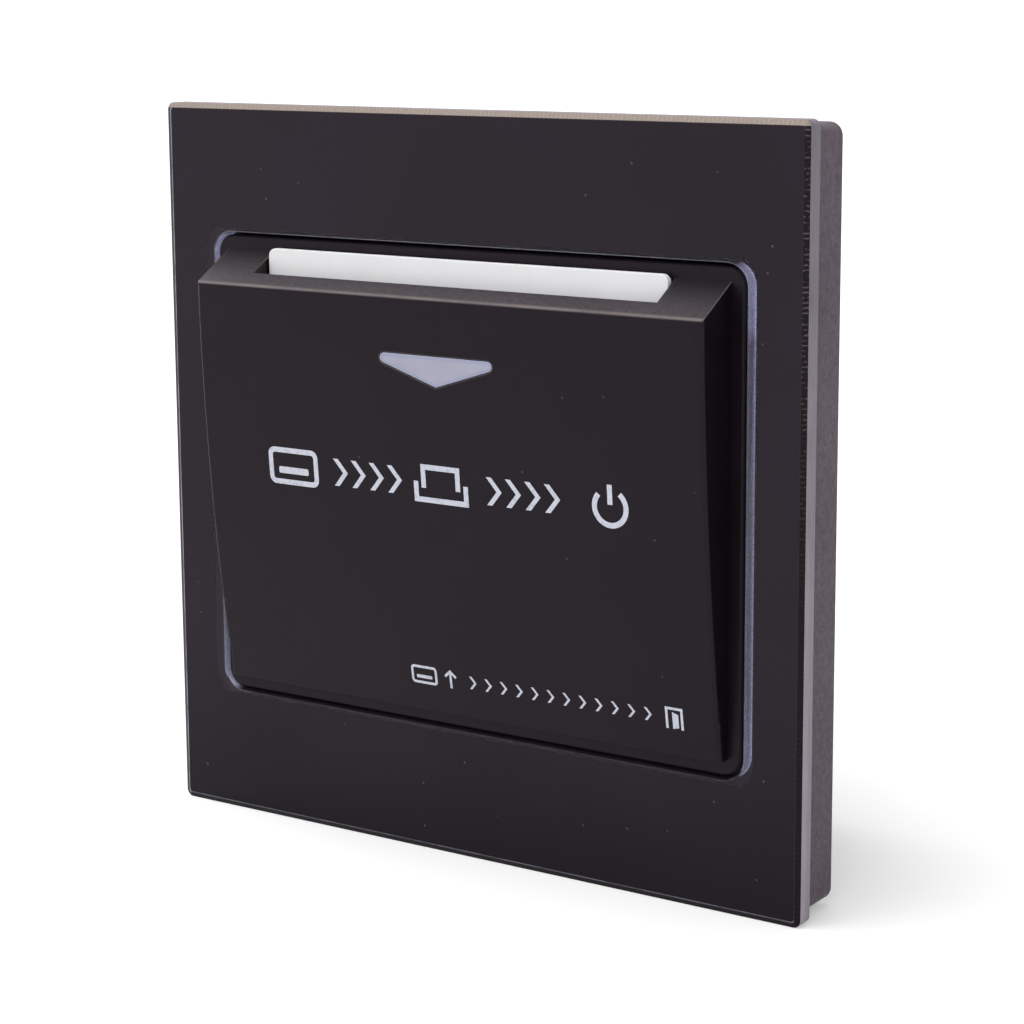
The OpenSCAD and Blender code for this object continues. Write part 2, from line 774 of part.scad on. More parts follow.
module guide_screws() {
  color([0.78, 0.78, 0.76]) for (s = leg_sites)
    at(s[0], s[1]) pan_screw(base_front - 2 * seat - leg_floor_t);
}

// Latch on the upper or lower edge of the base plate
module base_latch(x, side) {
  z1 = base_size / 2;
  nose_back = base_front - 0.4;
  nose_front = nose_back - 1.5;
  translate([x, 0, 0]) mirror([0, 0, side < 0 ? 1 : 0]) across(-latch_w / 2, latch_w / 2)
    polygon([
      [base_front + fuse_depth, z1 - latch_t],
      [base_front + fuse_depth, z1],
      [nose_back, z1],
      [nose_back, z1 + base_gap - 0.5],
      [nose_back - 0.4, z1 + base_gap - 0.5],
      [nose_front, z1 - 0.2],
      [nose_front, z1 - latch_t]
    ]);
}

module base_housing() {
  pad_rim = 2.5;
  pad_d = fixing_d + 2 * pad_rim;
  color([0.24, 0.24, 0.25]) difference() {
    union() {
      depth(base_front, 0) rounded(base_size, base_size, base_corner_r);
      depth(-over, box_depth) rounded(box_w, box_h, 2);
      for (x = [-fixing_spacing / 2, fixing_spacing / 2]) at(x, 0) rod(pad_d, base_front - 0.6, 0);
      for (s = leg_sites) at(s[0], s[1]) rod(boss_d, base_front, boss_len);
      for (x = [-latch_x, latch_x], side = [-1, 1]) base_latch(x, side);
    }
    difference() {
      depth(base_front - over, box_floor) rounded(box_inner_w, box_inner_h, 1);
      for (s = pillar_sites) at(s[0], s[1]) rod(pillar_d, board_back + seat, box_depth);
    }
    for (x = [-fixing_spacing / 2, fixing_spacing / 2]) at(x, 0)
      rod(fixing_d, base_front - 2 * over, over);
    for (s = leg_sites) at(s[0], s[1]) rod(screw_d + 2 * pin_fit, base_front - over, boss_len - over);
    for (s = pillar_sites) at(s[0], s[1])
      rod(screw_d + 2 * pin_fit, board_back - over, board_back + screw_len);
    for (x = pole_xs) {
      at(x, clamp_z) rod(driver_hole_d, box_floor - over, box_depth + over);
      translate([x, entry_y, -box_h / 2]) cube([entry_w, entry_w, 4 * box_wall], center = true);
    }
  }
}

// Side outline of the lever's arms: pad under the card in front, bar under the plunger behind
module lever_arms() {
  chamfer = lever_t / 3;
  arm_low = arm_top - lever_t;
  arm_end = pivot_y + rear_arm;
  polygon([
    [pad_front, pad_z - chamfer],
    [pad_front + chamfer, pad_z],
    [pad_back, pad_z],
    [pivot_y, pivot_z + 0.4 * hub_d],
    [pivot_y, arm_top],
    [arm_end - chamfer, arm_top],
    [arm_end, arm_top - chamfer],
    [arm_end, arm_low + chamfer],
    [arm_end - chamfer, arm_low],
    [pivot_y, arm_low],
    [pivot_y, pivot_z - 0.3 * hub_d],
    [pad_back, pad_z - lever_t],
    [pad_front + chamfer, pad_z - lever_t],
    [pad_front, pad_z - lever_t + chamfer]
  ]);
}

module actuator_lever() {
  arm_half = lever_w / 2 - thrust_step;
  opening_w = lever_w / 3;
  color([0.9, 0.9, 0.88]) difference() {
    union() {
      across(-arm_half, arm_half) lever_arms();
      translate([-lever_w / 2, pivot_y, pivot_z]) rotate([0, 90, 0]) cylinder(d = hub_d, h = lever_w);
    }
    translate([-lever_w, pivot_y, pivot_z]) rotate([0, 90, 0])
      cylinder(d = pin_d + 2 * pin_fit, h = 2 * lever_w);
    for (x = [-lever_w / 4, lever_w / 4]) translate([x, pad_back + 2, pivot_z])
      cube([opening_w, 2, 4 * hub_d], center = true);
  }
}

module lever_pin() {
  half = ear_x + ear_t + 0.3;
  chamfer = 0.3;
  color([0.8, 0.8, 0.82]) translate([-half, pivot_y, pivot_z]) rotate([0, 90, 0]) rotate_extrude()
    polygon([
      [0, 0], [pin_d / 2 - chamfer, 0], [pin_d / 2, chamfer],
      [pin_d / 2, 2 * half - chamfer], [pin_d / 2 - chamfer, 2 * half], [0, 2 * half]
    ]);
}

// Return spring: points of its centre line, then a tube of coil_sides sides round them
coil_rings = 8;
coil_sides = 6;
coil_steps = coil_turns * coil_rings;
coil_r = (coil_d - coil_wire_d) / 2;
coil_rise = coil_len - coil_wire_d - 2 * seat;
coil_points = [
  for (i = [0 : coil_steps])
    let (turn = 360 * i / coil_rings)
    [coil_r * cos(turn), coil_r * sin(turn), coil_rise * i / coil_steps]
];
coil_least_gap = min([
  for (i = [0 : coil_steps - coil_rings / 2], j = [i + coil_rings / 2 : coil_steps])
    norm(coil_points[i] - coil_points[j])
]) - coil_wire_d;
echo(coil_least_gap = coil_least_gap);

module lever_spring() {
  tube = [
    for (i = [0 : coil_steps], k = [0 : coil_sides - 1])
      let (turn = 360 * i / coil_rings, a = 360 * k / coil_sides, r = coil_wire_d / 2)
      coil_points[i] + [r * cos(a) * cos(turn), r * cos(a) * sin(turn), r * sin(a)]
  ];
  skin = [
    for (i = [0 : coil_steps - 1], k = [0 : coil_sides - 1])
      let (a = i * coil_sides + k, b = i * coil_sides + (k + 1) % coil_sides)
      each [[a, a + coil_sides, b], [b, a + coil_sides, b + coil_sides]]
  ];
  last = coil_steps * coil_sides;
  caps = [
    for (k = [1 : coil_sides - 2]) each [[0, k, k + 1], [last, last + k + 1, last + k]]
  ];
  color([0.75, 0.75, 0.77]) translate([coil_x, coil_y, coil_bottom + coil_wire_d / 2 + seat])
    polyhedron(tube, concat(skin, caps));
}

module switch_case() {
  hole_x = switch_hole_spacing / 2;
  color([0.1, 0.1, 0.1]) difference() {
    at(switch_x, switch_bottom + switch_h / 2)
      depth(switch_front, switch_back) rounded(switch_w, switch_h, 0.6);
    for (x = [switch_x - hole_x, switch_x + hole_x]) at(x, switch_hole_z)
      rod(switch_hole_d, switch_front - over, switch_back + over);
    translate([plunger_x, switch_mid_y, switch_bottom])
      cube([plunger_size[0] + 2 * slip, plunger_size[1] + 2 * slip, 2 * plunger_depth + 2 * slip],
        center = true);
  }
}

module switch_plunger() {
  color([0.75, 0.15, 0.12]) translate([plunger_x, switch_mid_y, plunger_tip])
    linear_extrude(plunger_show + plunger_depth) rounded(plunger_size[0], plunger_size[1], 0.4);
}

module switch_lugs() {
  stem_y = switch_mid_y - lug_t / 2;
  color([0.82, 0.8, 0.7]) for (step = [-1, 0, 1])
    across(switch_x + step * switch_w * 0.4 - lug_w / 2, switch_x + step * switch_w * 0.4 + lug_w / 2)
      union() {
        translate([stem_y, switch_bottom + switch_h + seat]) square([lug_t, lug_rise - seat]);
        translate([stem_y, lug_z - lug_t]) square([board_back + 1 - stem_y, lug_t]);
      }
}

module light_pipe() {
  color([0.9, 0.93, 0.95]) at(0, lamp_z) union() {
    rod(pipe_d, pipe_front, pipe_back);
    rod(tube_d, tube_back + seat, pipe_back);
  }
}

module indicator_led() {
  shoulder = 0.8;
  color([0.9, 0.92, 1]) translate([0, board_front - seat, lamp_z]) rotate([90, 0, 0]) union() {
    cylinder(d = lamp_d + 0.8, h = shoulder);
    cylinder(d = lamp_d, h = lamp_h - lamp_d / 2);
    translate([0, 0, lamp_h - lamp_d / 2]) sphere(d = lamp_d);
  }
}

module circuit_board() {
  color([0.1, 0.4, 0.2]) depth(board_front, board_back) difference() {
    rounded(board_w, board_h, 1);
    for (s = pillar_sites) translate(s) circle(d = screw_d + 4 * pin_fit);
    for (step = [-1, 0, 1]) translate([switch_x + step * switch_w * 0.4, lug_z - lug_t / 2])
      square([lug_w + 2 * slip, lug_t + 2 * slip], center = true);
  }
}

module board_screws() {
  color([0.78, 0.78, 0.76]) for (s = pillar_sites) at(s[0], s[1]) pan_screw(board_front - seat);
}

// Sealed block with a stepped foot, as bought-in parts have
module cased_part(size) {
  foot_h = 1;
  foot_step = 0.3;
  linear_extrude(size[2]) rounded(size[0] - 2 * foot_step, size[1] - 2 * foot_step, case_r);
  linear_extrude(foot_h) rounded(size[0], size[1], case_r);
}

module relay() {
  color([0.15, 0.35, 0.7]) on_board(relay_place) cased_part(concat(relay_size, relay_h));
}

module film_capacitor() {
  color([0.85, 0.75, 0.2]) on_board(film_place) cased_part(film_size);
}

module electrolytic_capacitor() {
  can_r = can_size[0] / 2;
  can_h = can_size[1];
  groove = 0.4;
  color([0.12, 0.15, 0.3]) on_board(can_place) rotate_extrude() polygon([
    [0, 0], [can_r - groove, 0], [can_r, groove], [can_r, 2 * groove], [can_r - groove, 3 * groove],
    [can_r - groove, 4 * groove], [can_r, 5 * groove], [can_r, can_h - groove],
    [can_r - groove, can_h], [0, can_h]
  ]);
}

// Two leads of a standing part
module leads(spacing, h) {
  for (x = [-spacing / 2, spacing / 2]) translate([x, 0, 0]) cylinder(d = lead_d, h = h);
}

module varistor() {
  disc_d = disc_size[0];
  disc_t = disc_size[1];
  stand = 1.5;
  color([0.1, 0.35, 0.6]) on_board(disc_place) union() {
    translate([0, disc_t / 2, stand + disc_d / 2]) rotate([90, 0, 0]) cylinder(d = disc_d, h = disc_t);
    leads(disc_d / 2, stand + disc_d / 2);
  }
}

module fuse() {
  color([0.45, 0.25, 0.15]) on_board(fuse_place) cased_part(fuse_size);
}

// Low chip body on two rows of legs
module chip(size, legs) {
  leg_w = 0.5;
  leg_h = 1.2;
  pitch = size[0] / legs;
  translate([0, 0, leg_h / 2]) linear_extrude(size[2]) rounded(size[0], size[1], case_r / 2);
  for (i = [0 : legs - 1], side = [-1, 1])
    translate([(i - (legs - 1) / 2) * pitch, side * size[1] / 2, leg_h / 2])
      cube([leg_w, 2 * leg_w, leg_h], center = true);
}

module bridge_rectifier() {
  color([0.08, 0.08, 0.08]) on_board(bridge_place) chip(bridge_size, 2);
}

module control_chip() {
  color([0.1, 0.1, 0.1]) on_board(chip_place) chip(chip_size, 4);
}

// Axial resistor lying over the board, its ends bent down to it
module axial_resistor(place) {
  body_l = resistor_size[0];
  body_d = resistor_size[1];
  axis_h = body_d / 2 + 0.6;
  span = body_l + body_d;
  on_board(place) union() {
    translate([-body_l / 2, 0, axis_h]) rotate([0, 90, 0]) cylinder(d = body_d - 0.5, h = body_l);
    for (end = [-body_l / 2, body_l / 2 - body_l / 5]) translate([end, 0, axis_h])
      rotate([0, 90, 0]) cylinder(d = body_d, h = body_l / 5);
    translate([-span / 2 - lead_d / 2, 0, axis_h]) rotate([0, 90, 0])
      cylinder(d = lead_d, h = span + lead_d);
    leads(span, axis_h);
  }
}

module resistors() {
  color([0.55, 0.7, 0.75]) for (place = resistor_places) axial_resistor(place);
}

module terminal_block() {
  color([0.2, 0.5, 0.3]) difference() {
    translate([-block_w / 2, board_back + seat, block_lower])
      cube([block_w, block_back - board_back - seat, block_depth]);
    for (x = pole_xs) {
      translate([x - clamp_w / 2 - slip, clamp_low - slip, block_lower - over])
        cube([clamp_w + 2 * slip, clamp_high - clamp_low + 2 * slip,
          clamp_z + clamp_w / 2 + slip - block_lower + over]);
      at(x, clamp_z) rod(driver_hole_d, clamp_high, block_back + over);
    }
  }
}

module terminal_clamps() {
  color([0.8, 0.65, 0.3]) for (x = pole_xs) difference() {
    translate([x - clamp_w / 2, clamp_low, clamp_z - clamp_w / 2])
      cube([clamp_w, clamp_high - clamp_low, clamp_w]);
    translate([x, entry_y, clamp_z]) cube([entry_w, entry_w, 2 * clamp_w], center = true);
    at(x, clamp_z) rod(clamp_screw_d + 2 * pin_fit, entry_y, clamp_high + over);
  }
}

module terminal_screws() {
  seat_y = clamp_high + seat;
  slot_d = clamp_head_h / 2;
  color([0.8, 0.78, 0.7]) for (x = pole_xs) at(x, clamp_z) difference() {
    union() {
      rod(clamp_head_d, seat_y, seat_y + clamp_head_h);
      rod(clamp_screw_d, entry_y + entry_w / 2 - slip, seat_y + fuse_depth);
    }
    translate([0, seat_y + clamp_head_h, 0])
      cube([2 * clamp_head_d, slot_d, clamp_head_d / 5], center = true);
  }
}

glass_panel();
adhesive_sheet();
panel_frame();
pocket_cover();
arrow_lens();
card_springs();
key_card();
card_guide();
guide_screws();
base_housing();
actuator_lever();
lever_pin();
lever_spring();
switch_case();
switch_plunger();
switch_lugs();
light_pipe();
indicator_led();
circuit_board();
board_screws();
relay();
film_capacitor();
electrolytic_capacitor();
varistor();
fuse();
bridge_rectifier();
control_chip();
resistors();
terminal_block();
terminal_clamps();
terminal_screws();
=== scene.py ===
"""Looks of a hotel key card switch: glass, moulded pocket, card, prints and what is behind them."""

import math

import bmesh
import bpy
from mathutils import Matrix, Vector


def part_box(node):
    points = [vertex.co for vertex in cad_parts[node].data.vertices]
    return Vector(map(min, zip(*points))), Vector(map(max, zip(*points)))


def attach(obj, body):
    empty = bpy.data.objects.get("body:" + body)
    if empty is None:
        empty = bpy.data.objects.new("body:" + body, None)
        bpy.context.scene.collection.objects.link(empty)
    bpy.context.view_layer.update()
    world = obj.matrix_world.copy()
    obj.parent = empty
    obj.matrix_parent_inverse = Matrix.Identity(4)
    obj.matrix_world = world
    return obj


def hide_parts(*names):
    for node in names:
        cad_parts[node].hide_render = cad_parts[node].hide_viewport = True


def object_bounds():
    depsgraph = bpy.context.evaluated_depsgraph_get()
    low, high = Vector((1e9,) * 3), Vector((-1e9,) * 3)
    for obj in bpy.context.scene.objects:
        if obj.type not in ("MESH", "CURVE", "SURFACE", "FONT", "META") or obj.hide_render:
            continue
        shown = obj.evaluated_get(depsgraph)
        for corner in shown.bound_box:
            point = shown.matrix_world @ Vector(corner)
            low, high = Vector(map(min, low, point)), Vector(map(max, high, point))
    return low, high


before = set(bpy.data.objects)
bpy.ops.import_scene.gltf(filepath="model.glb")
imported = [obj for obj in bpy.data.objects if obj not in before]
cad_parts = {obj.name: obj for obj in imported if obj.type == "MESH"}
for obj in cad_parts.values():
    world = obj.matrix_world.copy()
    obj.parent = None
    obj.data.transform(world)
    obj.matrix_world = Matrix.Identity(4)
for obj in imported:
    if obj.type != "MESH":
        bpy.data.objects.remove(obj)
cad_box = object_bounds()

MM = 0.001
HOUSING, CARD = "housing", "card"

# Bow of the pocket's face: centre of its arc in depth and height, and its radius, in mm
BOW_Y, BOW_Z, BOW_R = 311.497, 29.630, 326.1253

# Glass panel: half its side, corner radius, front and back in depth, bevel and arrises, in mm
GLASS_HALF, GLASS_R = 43.0, 0.9
GLASS_FRONT, GLASS_BACK = -8.7, -6.2
BEVEL_W, BEVEL_D, ARRIS_W = 0.6, 0.3, 0.12

# Window of the glass: half its width and height, and its radius, in mm
WINDOW_W, WINDOW_H, WINDOW_R = 36.0, 28.0, 2.6

# Pocket: half its width, and its sloping top's back and front in depth and edge in height, in mm
POCKET_HALF = 34.0
SLOPE_BACK, SLOPE_FRONT, SLOPE_EDGE_Z = -8.5, -14.54, 22.64

# How far the ink stands out of the pocket's face and reaches into it, in mm
INK_LIFT, INK_SINK = 0.02, 0.01

# Softened copies: points closer than WELD are one, and a bend by an edge under STUB is left out
WELD, STUB = 0.0005 * MM, 0.01 * MM

# What a softened copy says of its faces: on a rounded edge, or on a flat rim
EDGE_MARK, RIM_MARK = 1.0, 0.45

# Soft lamps: name, direction and strength, each of the same angle
LAMPS = (("key_lamp", (0.15, 0.65, -0.75), 0.7),
         ("fill_lamp", (-0.62, 0.75, -0.25), 0.85),
         ("top_lamp", (0.42, 0.08, -0.9), 2.2))
LAMP_ANGLE = math.radians(60)


class Wire:
    """A socket of a node tree. Arithmetic on it adds Math nodes, and node() adds any other node."""

    def __init__(self, tree, socket=None):
        self.tree, self.socket = tree, socket

    def node(self, kind, settings=None, sockets=None, out=0):
        made = self.tree.nodes.new(kind)
        for key, value in (settings or {}).items():
            setattr(made, key, value)
        for key, value in (sockets or {}).items():
            if isinstance(value, Wire):
                self.tree.links.new(value.socket, made.inputs[key])
            else:
                made.inputs[key].default_value = value
        return Wire(self.tree, made.outputs[out])

    def maths(self, operation, *values):
        return self.node("ShaderNodeMath", {"operation": operation}, dict(enumerate(values)))

    def __add__(self, other):
        return self.maths("ADD", self, other)

    def __radd__(self, other):
        return self.maths("ADD", other, self)

    def __sub__(self, other):
        return self.maths("SUBTRACT", self, other)

    def __rsub__(self, other):
        return self.maths("SUBTRACT", other, self)

    def __mul__(self, other):
        return self.maths("MULTIPLY", self, other)

    def __rmul__(self, other):
        return self.maths("MULTIPLY", other, self)

    def __truediv__(self, other):
        return self.maths("DIVIDE", self, other)

    def __pow__(self, other):
        return self.maths("POWER", self, other)

    def __gt__(self, other):
        return self.maths("GREATER_THAN", self, other)

    def __lt__(self, other):
        return self.maths("LESS_THAN", self, other)


# ---------------------------------------------------------------- finishes

def start(name):
    """A new empty finish and the wire that its nodes are drawn from."""
    mat = bpy.data.materials.new(name)
    mat.use_nodes = True
    mat.node_tree.nodes.clear()
    return mat, Wire(mat.node_tree)


def close(mat, shader):
    out = mat.node_tree.nodes.new("ShaderNodeOutputMaterial")
    mat.node_tree.links.new(shader.socket, out.inputs["Surface"])
    return mat


def place(w):
    return w.node("ShaderNodeTexCoord", {}, {}, "Object")


def part_of(w, vector, axis):
    return w.node("ShaderNodeSeparateXYZ", {}, {"Vector": vector}, axis)


def in_mm(w, axes):
    """Object coordinates along those axes, in mm."""
    return [part_of(w, place(w), axis) / MM for axis in axes]


def stretched(w, x, y, z):
    """Object coordinates drawn out along an axis, for brush lines and grinding marks."""
    return w.node("ShaderNodeMapping", {}, {"Vector": place(w), "Scale": (x, y, z)})


def grain(w, size_mm, detail=2.0, at=None):
    """Noise with features of about that size, from 0 to 1."""
    return w.node("ShaderNodeTexNoise", {}, {
        "Vector": at or place(w), "Scale": 1 / (size_mm * MM), "Detail": detail, "Roughness": 0.55})


def between(w, factor, a, b):
    """A colour from a to b by a factor."""
    return w.node("ShaderNodeMix", {"data_type": "RGBA"}, {0: factor, 6: a, 7: b}, 2)


def ease(w, value, low, high, to_low=0.0, to_high=1.0):
    return w.node("ShaderNodeMapRange", {"interpolation_type": "SMOOTHSTEP"}, {
        "Value": value, "From Min": low, "From Max": high, "To Min": to_low, "To Max": to_high})


def spread(w, noise, low=0.0, high=1.0):
    """The usual spread of a noise, drawn out to a range."""
    return ease(w, noise, 0.3, 0.7, low, high)


def relief(w, height, depth_mm, strength=1.0):
    return w.node("ShaderNodeBump", {}, {
        "Strength": strength, "Distance": depth_mm * MM, "Height": height})


def surface(w, **sockets):
    named = {key.replace("_", " "): value for key, value in sockets.items()}
    return w.node("ShaderNodeBsdfPrincipled", {}, named, "BSDF")


def shade(colour, by):
    return (*(max(0.0, c * by) for c in colour[:3]), 1.0)


def rounded_edge_mask(w):
    """1 on the rounded edges of a softened piece, less on its flat rim, 0 on its faces."""
    return w.node("ShaderNodeAttribute", {"attribute_name": "edge"}, {}, "Fac")


def dust(w, share=0.5):
    """1 on small specks that have settled on a share of the cells of a front face."""
    cells_per_metre, largest = 180.0, 0.024
    x, z = (part_of(w, place(w), axis) for axis in "XZ")
    cells = {"Vector": w.node("ShaderNodeCombineXYZ", {}, {"X": x, "Y": z}),
             "Scale": cells_per_metre, "Randomness": 1.0}
    near, hue = (w.node("ShaderNodeTexVoronoi", {"voronoi_dimensions": "2D"}, cells, out)
                 for out in ("Distance", "Color"))
    pick = w.node("ShaderNodeSeparateColor", {}, {"Color": hue}, 0)
    return near < ease(w, pick, 1 - share, 1.0, 0.0, largest)


def moulded(name, colour, roughness=0.45, grain_mm=0.35, depth_mm=0.006, contrast=0.18,
            edges=False):
    """Moulded plastic: spark-eroded grain, slow flow marks and, on softened copies, worn edges."""
    mat, w = start(name)
    fine = grain(w, grain_mm, 3.0)
    flow = grain(w, 14.0, 2.0, stretched(w, 1.0, 1.0, 0.45))
    tone = spread(w, fine * 0.45 + flow * 0.55)
    base = between(w, tone, shade(colour, 1 - contrast), shade(colour, 1 + contrast))
    if edges:
        rub = rounded_edge_mask(w) * ease(w, grain(w, 2.2, 3.0), 0.42, 0.62)
        base = between(w, rub * 0.5, base, shade([c + 0.02 for c in colour[:3]], 1.7))
    rough = ease(w, flow, 0.25, 0.75, roughness - 0.06, roughness + 0.06)
    return close(mat, surface(w, Base_Color=base, Roughness=rough,
                              Normal=relief(w, fine, depth_mm)))


def satin_black():
    """The pocket: near-black satin plastic, with dust and painted light on its sloping top, a
    painted highlight on its front edge, and rubbed edges with painted highlights higher up.
    """
    mat, w = start("satin_black")
    fine = grain(w, 0.16, 3.0)
    cloud = grain(w, 16.0, 3.0)
    wipe = grain(w, 3.0, 4.0, stretched(w, 0.35, 1.0, 1.0))
    base = between(w, spread(w, cloud), (0.0029, 0.0017, 0.0034, 1), (0.0045, 0.0029, 0.0052, 1))
    base = between(w, dust(w, 0.25) * 0.4, base, (0.14, 0.125, 0.14, 1))
    x, y, z = in_mm(w, "XYZ")
    # The sloping top is painted lighter towards its front edge, partly dust and partly painted
    # light, and that edge carries a painted highlight
    top = ease(w, z, SLOPE_EDGE_Z - 0.28, SLOPE_EDGE_Z - 0.02)
    top = top * (w.maths("ABSOLUTE", x) < POCKET_HALF - 0.04)
    film = top * ease(w, y, SLOPE_BACK - 0.7, SLOPE_FRONT + 0.64)
    settled = grain(w, 0.45, 3.0) * 0.7 + cloud * 0.3
    film = film * ease(w, settled, 0.38, 0.62, 0.6, 1.0)
    base = between(w, film, base, (0.045, 0.0375, 0.041, 1))
    # Painted highlight along the rounded front edge of the slope
    painted_edge_highlight = top * ease(w, z, SLOPE_EDGE_Z + 0.2, SLOPE_EDGE_Z) * (y < SLOPE_FRONT + 1.04)
    painted_edge_highlight = painted_edge_highlight * spread(w, grain(w, 5.0, 3.0), 0.6, 1.0)
    base = between(w, painted_edge_highlight, base, (0.135, 0.112, 0.110, 1))
    # Other edges are rubbed where hands reach them and carry painted highlights that grow stronger
    # higher up, apart from the corners below the front edge
    corner = ease(w, z, 21.0, 21.6) * (y < SLOPE_FRONT + 0.19)
    handled_and_highlit = ease(w, z, 4.0, 20.0, 0.04, 1.0) * (1 - corner)
    rub = rounded_edge_mask(w) * handled_and_highlit * ease(w, grain(w, 3.5, 3.0), 0.30, 0.6, 0.5, 1.0)
    base = between(w, rub * 0.75, base, (0.16, 0.128, 0.118, 1))
    rough = spread(w, wipe * 0.6 + cloud * 0.4, 0.38, 0.44)
    return close(mat, surface(w, Base_Color=base, Roughness=rough, Specular_IOR_Level=0.18,
                              Specular_Tint=(1.0, 0.86, 1.0, 1), Normal=relief(w, fine, 0.0012)))


def speckled_frame():
    """The frame behind the glass: charcoal plastic with a sparkly, sand-blasted grain."""
    mat, w = start("speckled_frame")
    fine = grain(w, 0.28, 3.0)
    coarse = grain(w, 0.9, 2.0)
    cloud = grain(w, 18.0, 2.0)
    dark, pale = (0.051, 0.035, 0.048, 1), (0.100, 0.070, 0.095, 1)
    base = between(w, ease(w, fine * 0.6 + cloud * 0.4, 0.32, 0.68), dark, pale)
    base = between(w, ease(w, coarse, 0.66, 0.74) * 0.5, base, (0.11, 0.085, 0.10, 1))
    rub = rounded_edge_mask(w) * ease(w, grain(w, 2.5, 3.0), 0.4, 0.6)
    base = between(w, rub * 0.4, base, (0.13, 0.11, 0.125, 1))
    rough = spread(w, coarse, 0.46, 0.60)
    return close(mat, surface(w, Base_Color=base, Roughness=rough, Specular_IOR_Level=0.35,
                              Specular_Tint=(1.0, 0.84, 0.98, 1),
                              Normal=relief(w, fine * 0.7 + coarse * 0.3, 0.014)))


def past_window(w):
    """How far a point is outside the window's outline, in mm, threefold above and below it."""
    x, z = (w.maths("ABSOLUTE", at) for at in in_mm(w, "XZ"))
    out_x = w.maths("MAXIMUM", x - (WINDOW_W - WINDOW_R), 0.0)
    out_z = w.maths("MAXIMUM", z - (WINDOW_H - WINDOW_R), 0.0)
    reach = (out_x * out_x + out_z * out_z) ** 0.5
    return (reach - WINDOW_R) * ease(w, out_z / reach, 0.8, 1.0, 1.0, 3.0)


def black_glass():
    """Front of the panel: polished glass on black enamel, clear in a band round the window."""
    mat, w = start("black_glass")
    cloud = grain(w, 24.0, 2.0)
    height, = in_mm(w, "Z")
    base = between(w, spread(w, cloud), (0.0075, 0.0028, 0.0094, 1), (0.0110, 0.0046, 0.0134, 1))
    # Painted shade: darker towards the foot, standing in for the dim floor reflected there
    base = between(w, ease(w, height, -22.0, -44.0) * 0.7, base, (0.0020, 0.0012, 0.0024, 1))
    base = between(w, dust(w) * 0.4, base, (0.20, 0.18, 0.20, 1))
    gloss = ease(w, height + cloud * 12.0, -40.0, -8.0, 0.11, 0.20)
    backed = surface(w, Base_Color=base, Roughness=spread(w, cloud, 0.03, 0.06), IOR=1.2,
                     Coat_Weight=gloss, Coat_Roughness=0.03)
    clear = surface(w, Base_Color=(0.98, 0.965, 0.98, 1), Roughness=0.0, IOR=1.32,
                    Transmission_Weight=1.0)
    enamel = ease(w, past_window(w), 1.1, 1.4)
    return close(mat, w.node("ShaderNodeMixShader", {}, {0: enamel, 1: clear, 2: backed}))


def ground_bevel():
    """Bevel of the panel: pale on top with painted overhead light, dark at the sides with painted
    shade, with tooth marks that fade downwards.
    """
    mat, w = start("ground_bevel")
    u = part_of(w, w.node("ShaderNodeUVMap", {"uv_map": "along"}, {}, "UV"), "X")
    height, = in_mm(w, "Z")
    tooth = w.maths("FRACT", u / (0.55 * MM) + grain(w, 0.9, 3.0) * 0.9)
    mark = ease(w, tooth, 0.55, 0.72) * ease(w, tooth, 0.98, 0.86)
    mark = mark * ease(w, grain(w, 0.4, 3.0), 0.42, 0.60) * ease(w, height, -12.0, 26.0, 0.12, 1.0)
    # Painted light and shade: the side bevels stay dark and the top one is pale, as if lit from
    # overhead
    side = between(w, mark, (0.0100, 0.0066, 0.0090, 1), (0.100, 0.084, 0.082, 1))
    pale = between(w, tooth * 0.5 + grain(w, 0.4) * 0.5,
                   (0.24, 0.195, 0.168, 1), (0.40, 0.335, 0.295, 1))
    base = between(w, height > GLASS_HALF - BEVEL_W - 0.02, side, pale)
    rough = ease(w, mark, 0.0, 1.0, 0.3, 0.6)
    return close(mat, surface(w, Base_Color=base, Roughness=rough, Specular_IOR_Level=0.08))


def ground_edge():
    """Wheel-ground outer edge of the glass: matt, with long fine lines, and painted light from the
    floor making it paler towards the foot.
    """
    mat, w = start("ground_edge")
    lines = grain(w, 0.22, 3.0, stretched(w, 0.05, 1.0, 0.05))
    fine = grain(w, 0.18, 2.0)
    cloud = grain(w, 9.0, 2.0)
    depth, height = in_mm(w, "YZ")
    tone = ease(w, lines * 0.4 + fine * 0.25 + cloud * 0.35, 0.34, 0.66)
    # Painted light: paler towards the foot, standing in for light thrown up by the floor
    foot = ease(w, height, 30.0, -40.0)
    base = between(w, tone * 0.4 + foot * 0.6, (0.100, 0.078, 0.096, 1), (0.43, 0.350, 0.420, 1))
    behind = ease(w, depth, GLASS_FRONT + 0.9, GLASS_BACK - 0.6)
    base = between(w, behind * 0.45, base, (0.170, 0.158, 0.210, 1))
    return close(mat, surface(w, Base_Color=base, Roughness=spread(w, fine, 0.37, 0.53),
                              Normal=relief(w, lines * 0.6 + fine * 0.4, 0.006)))


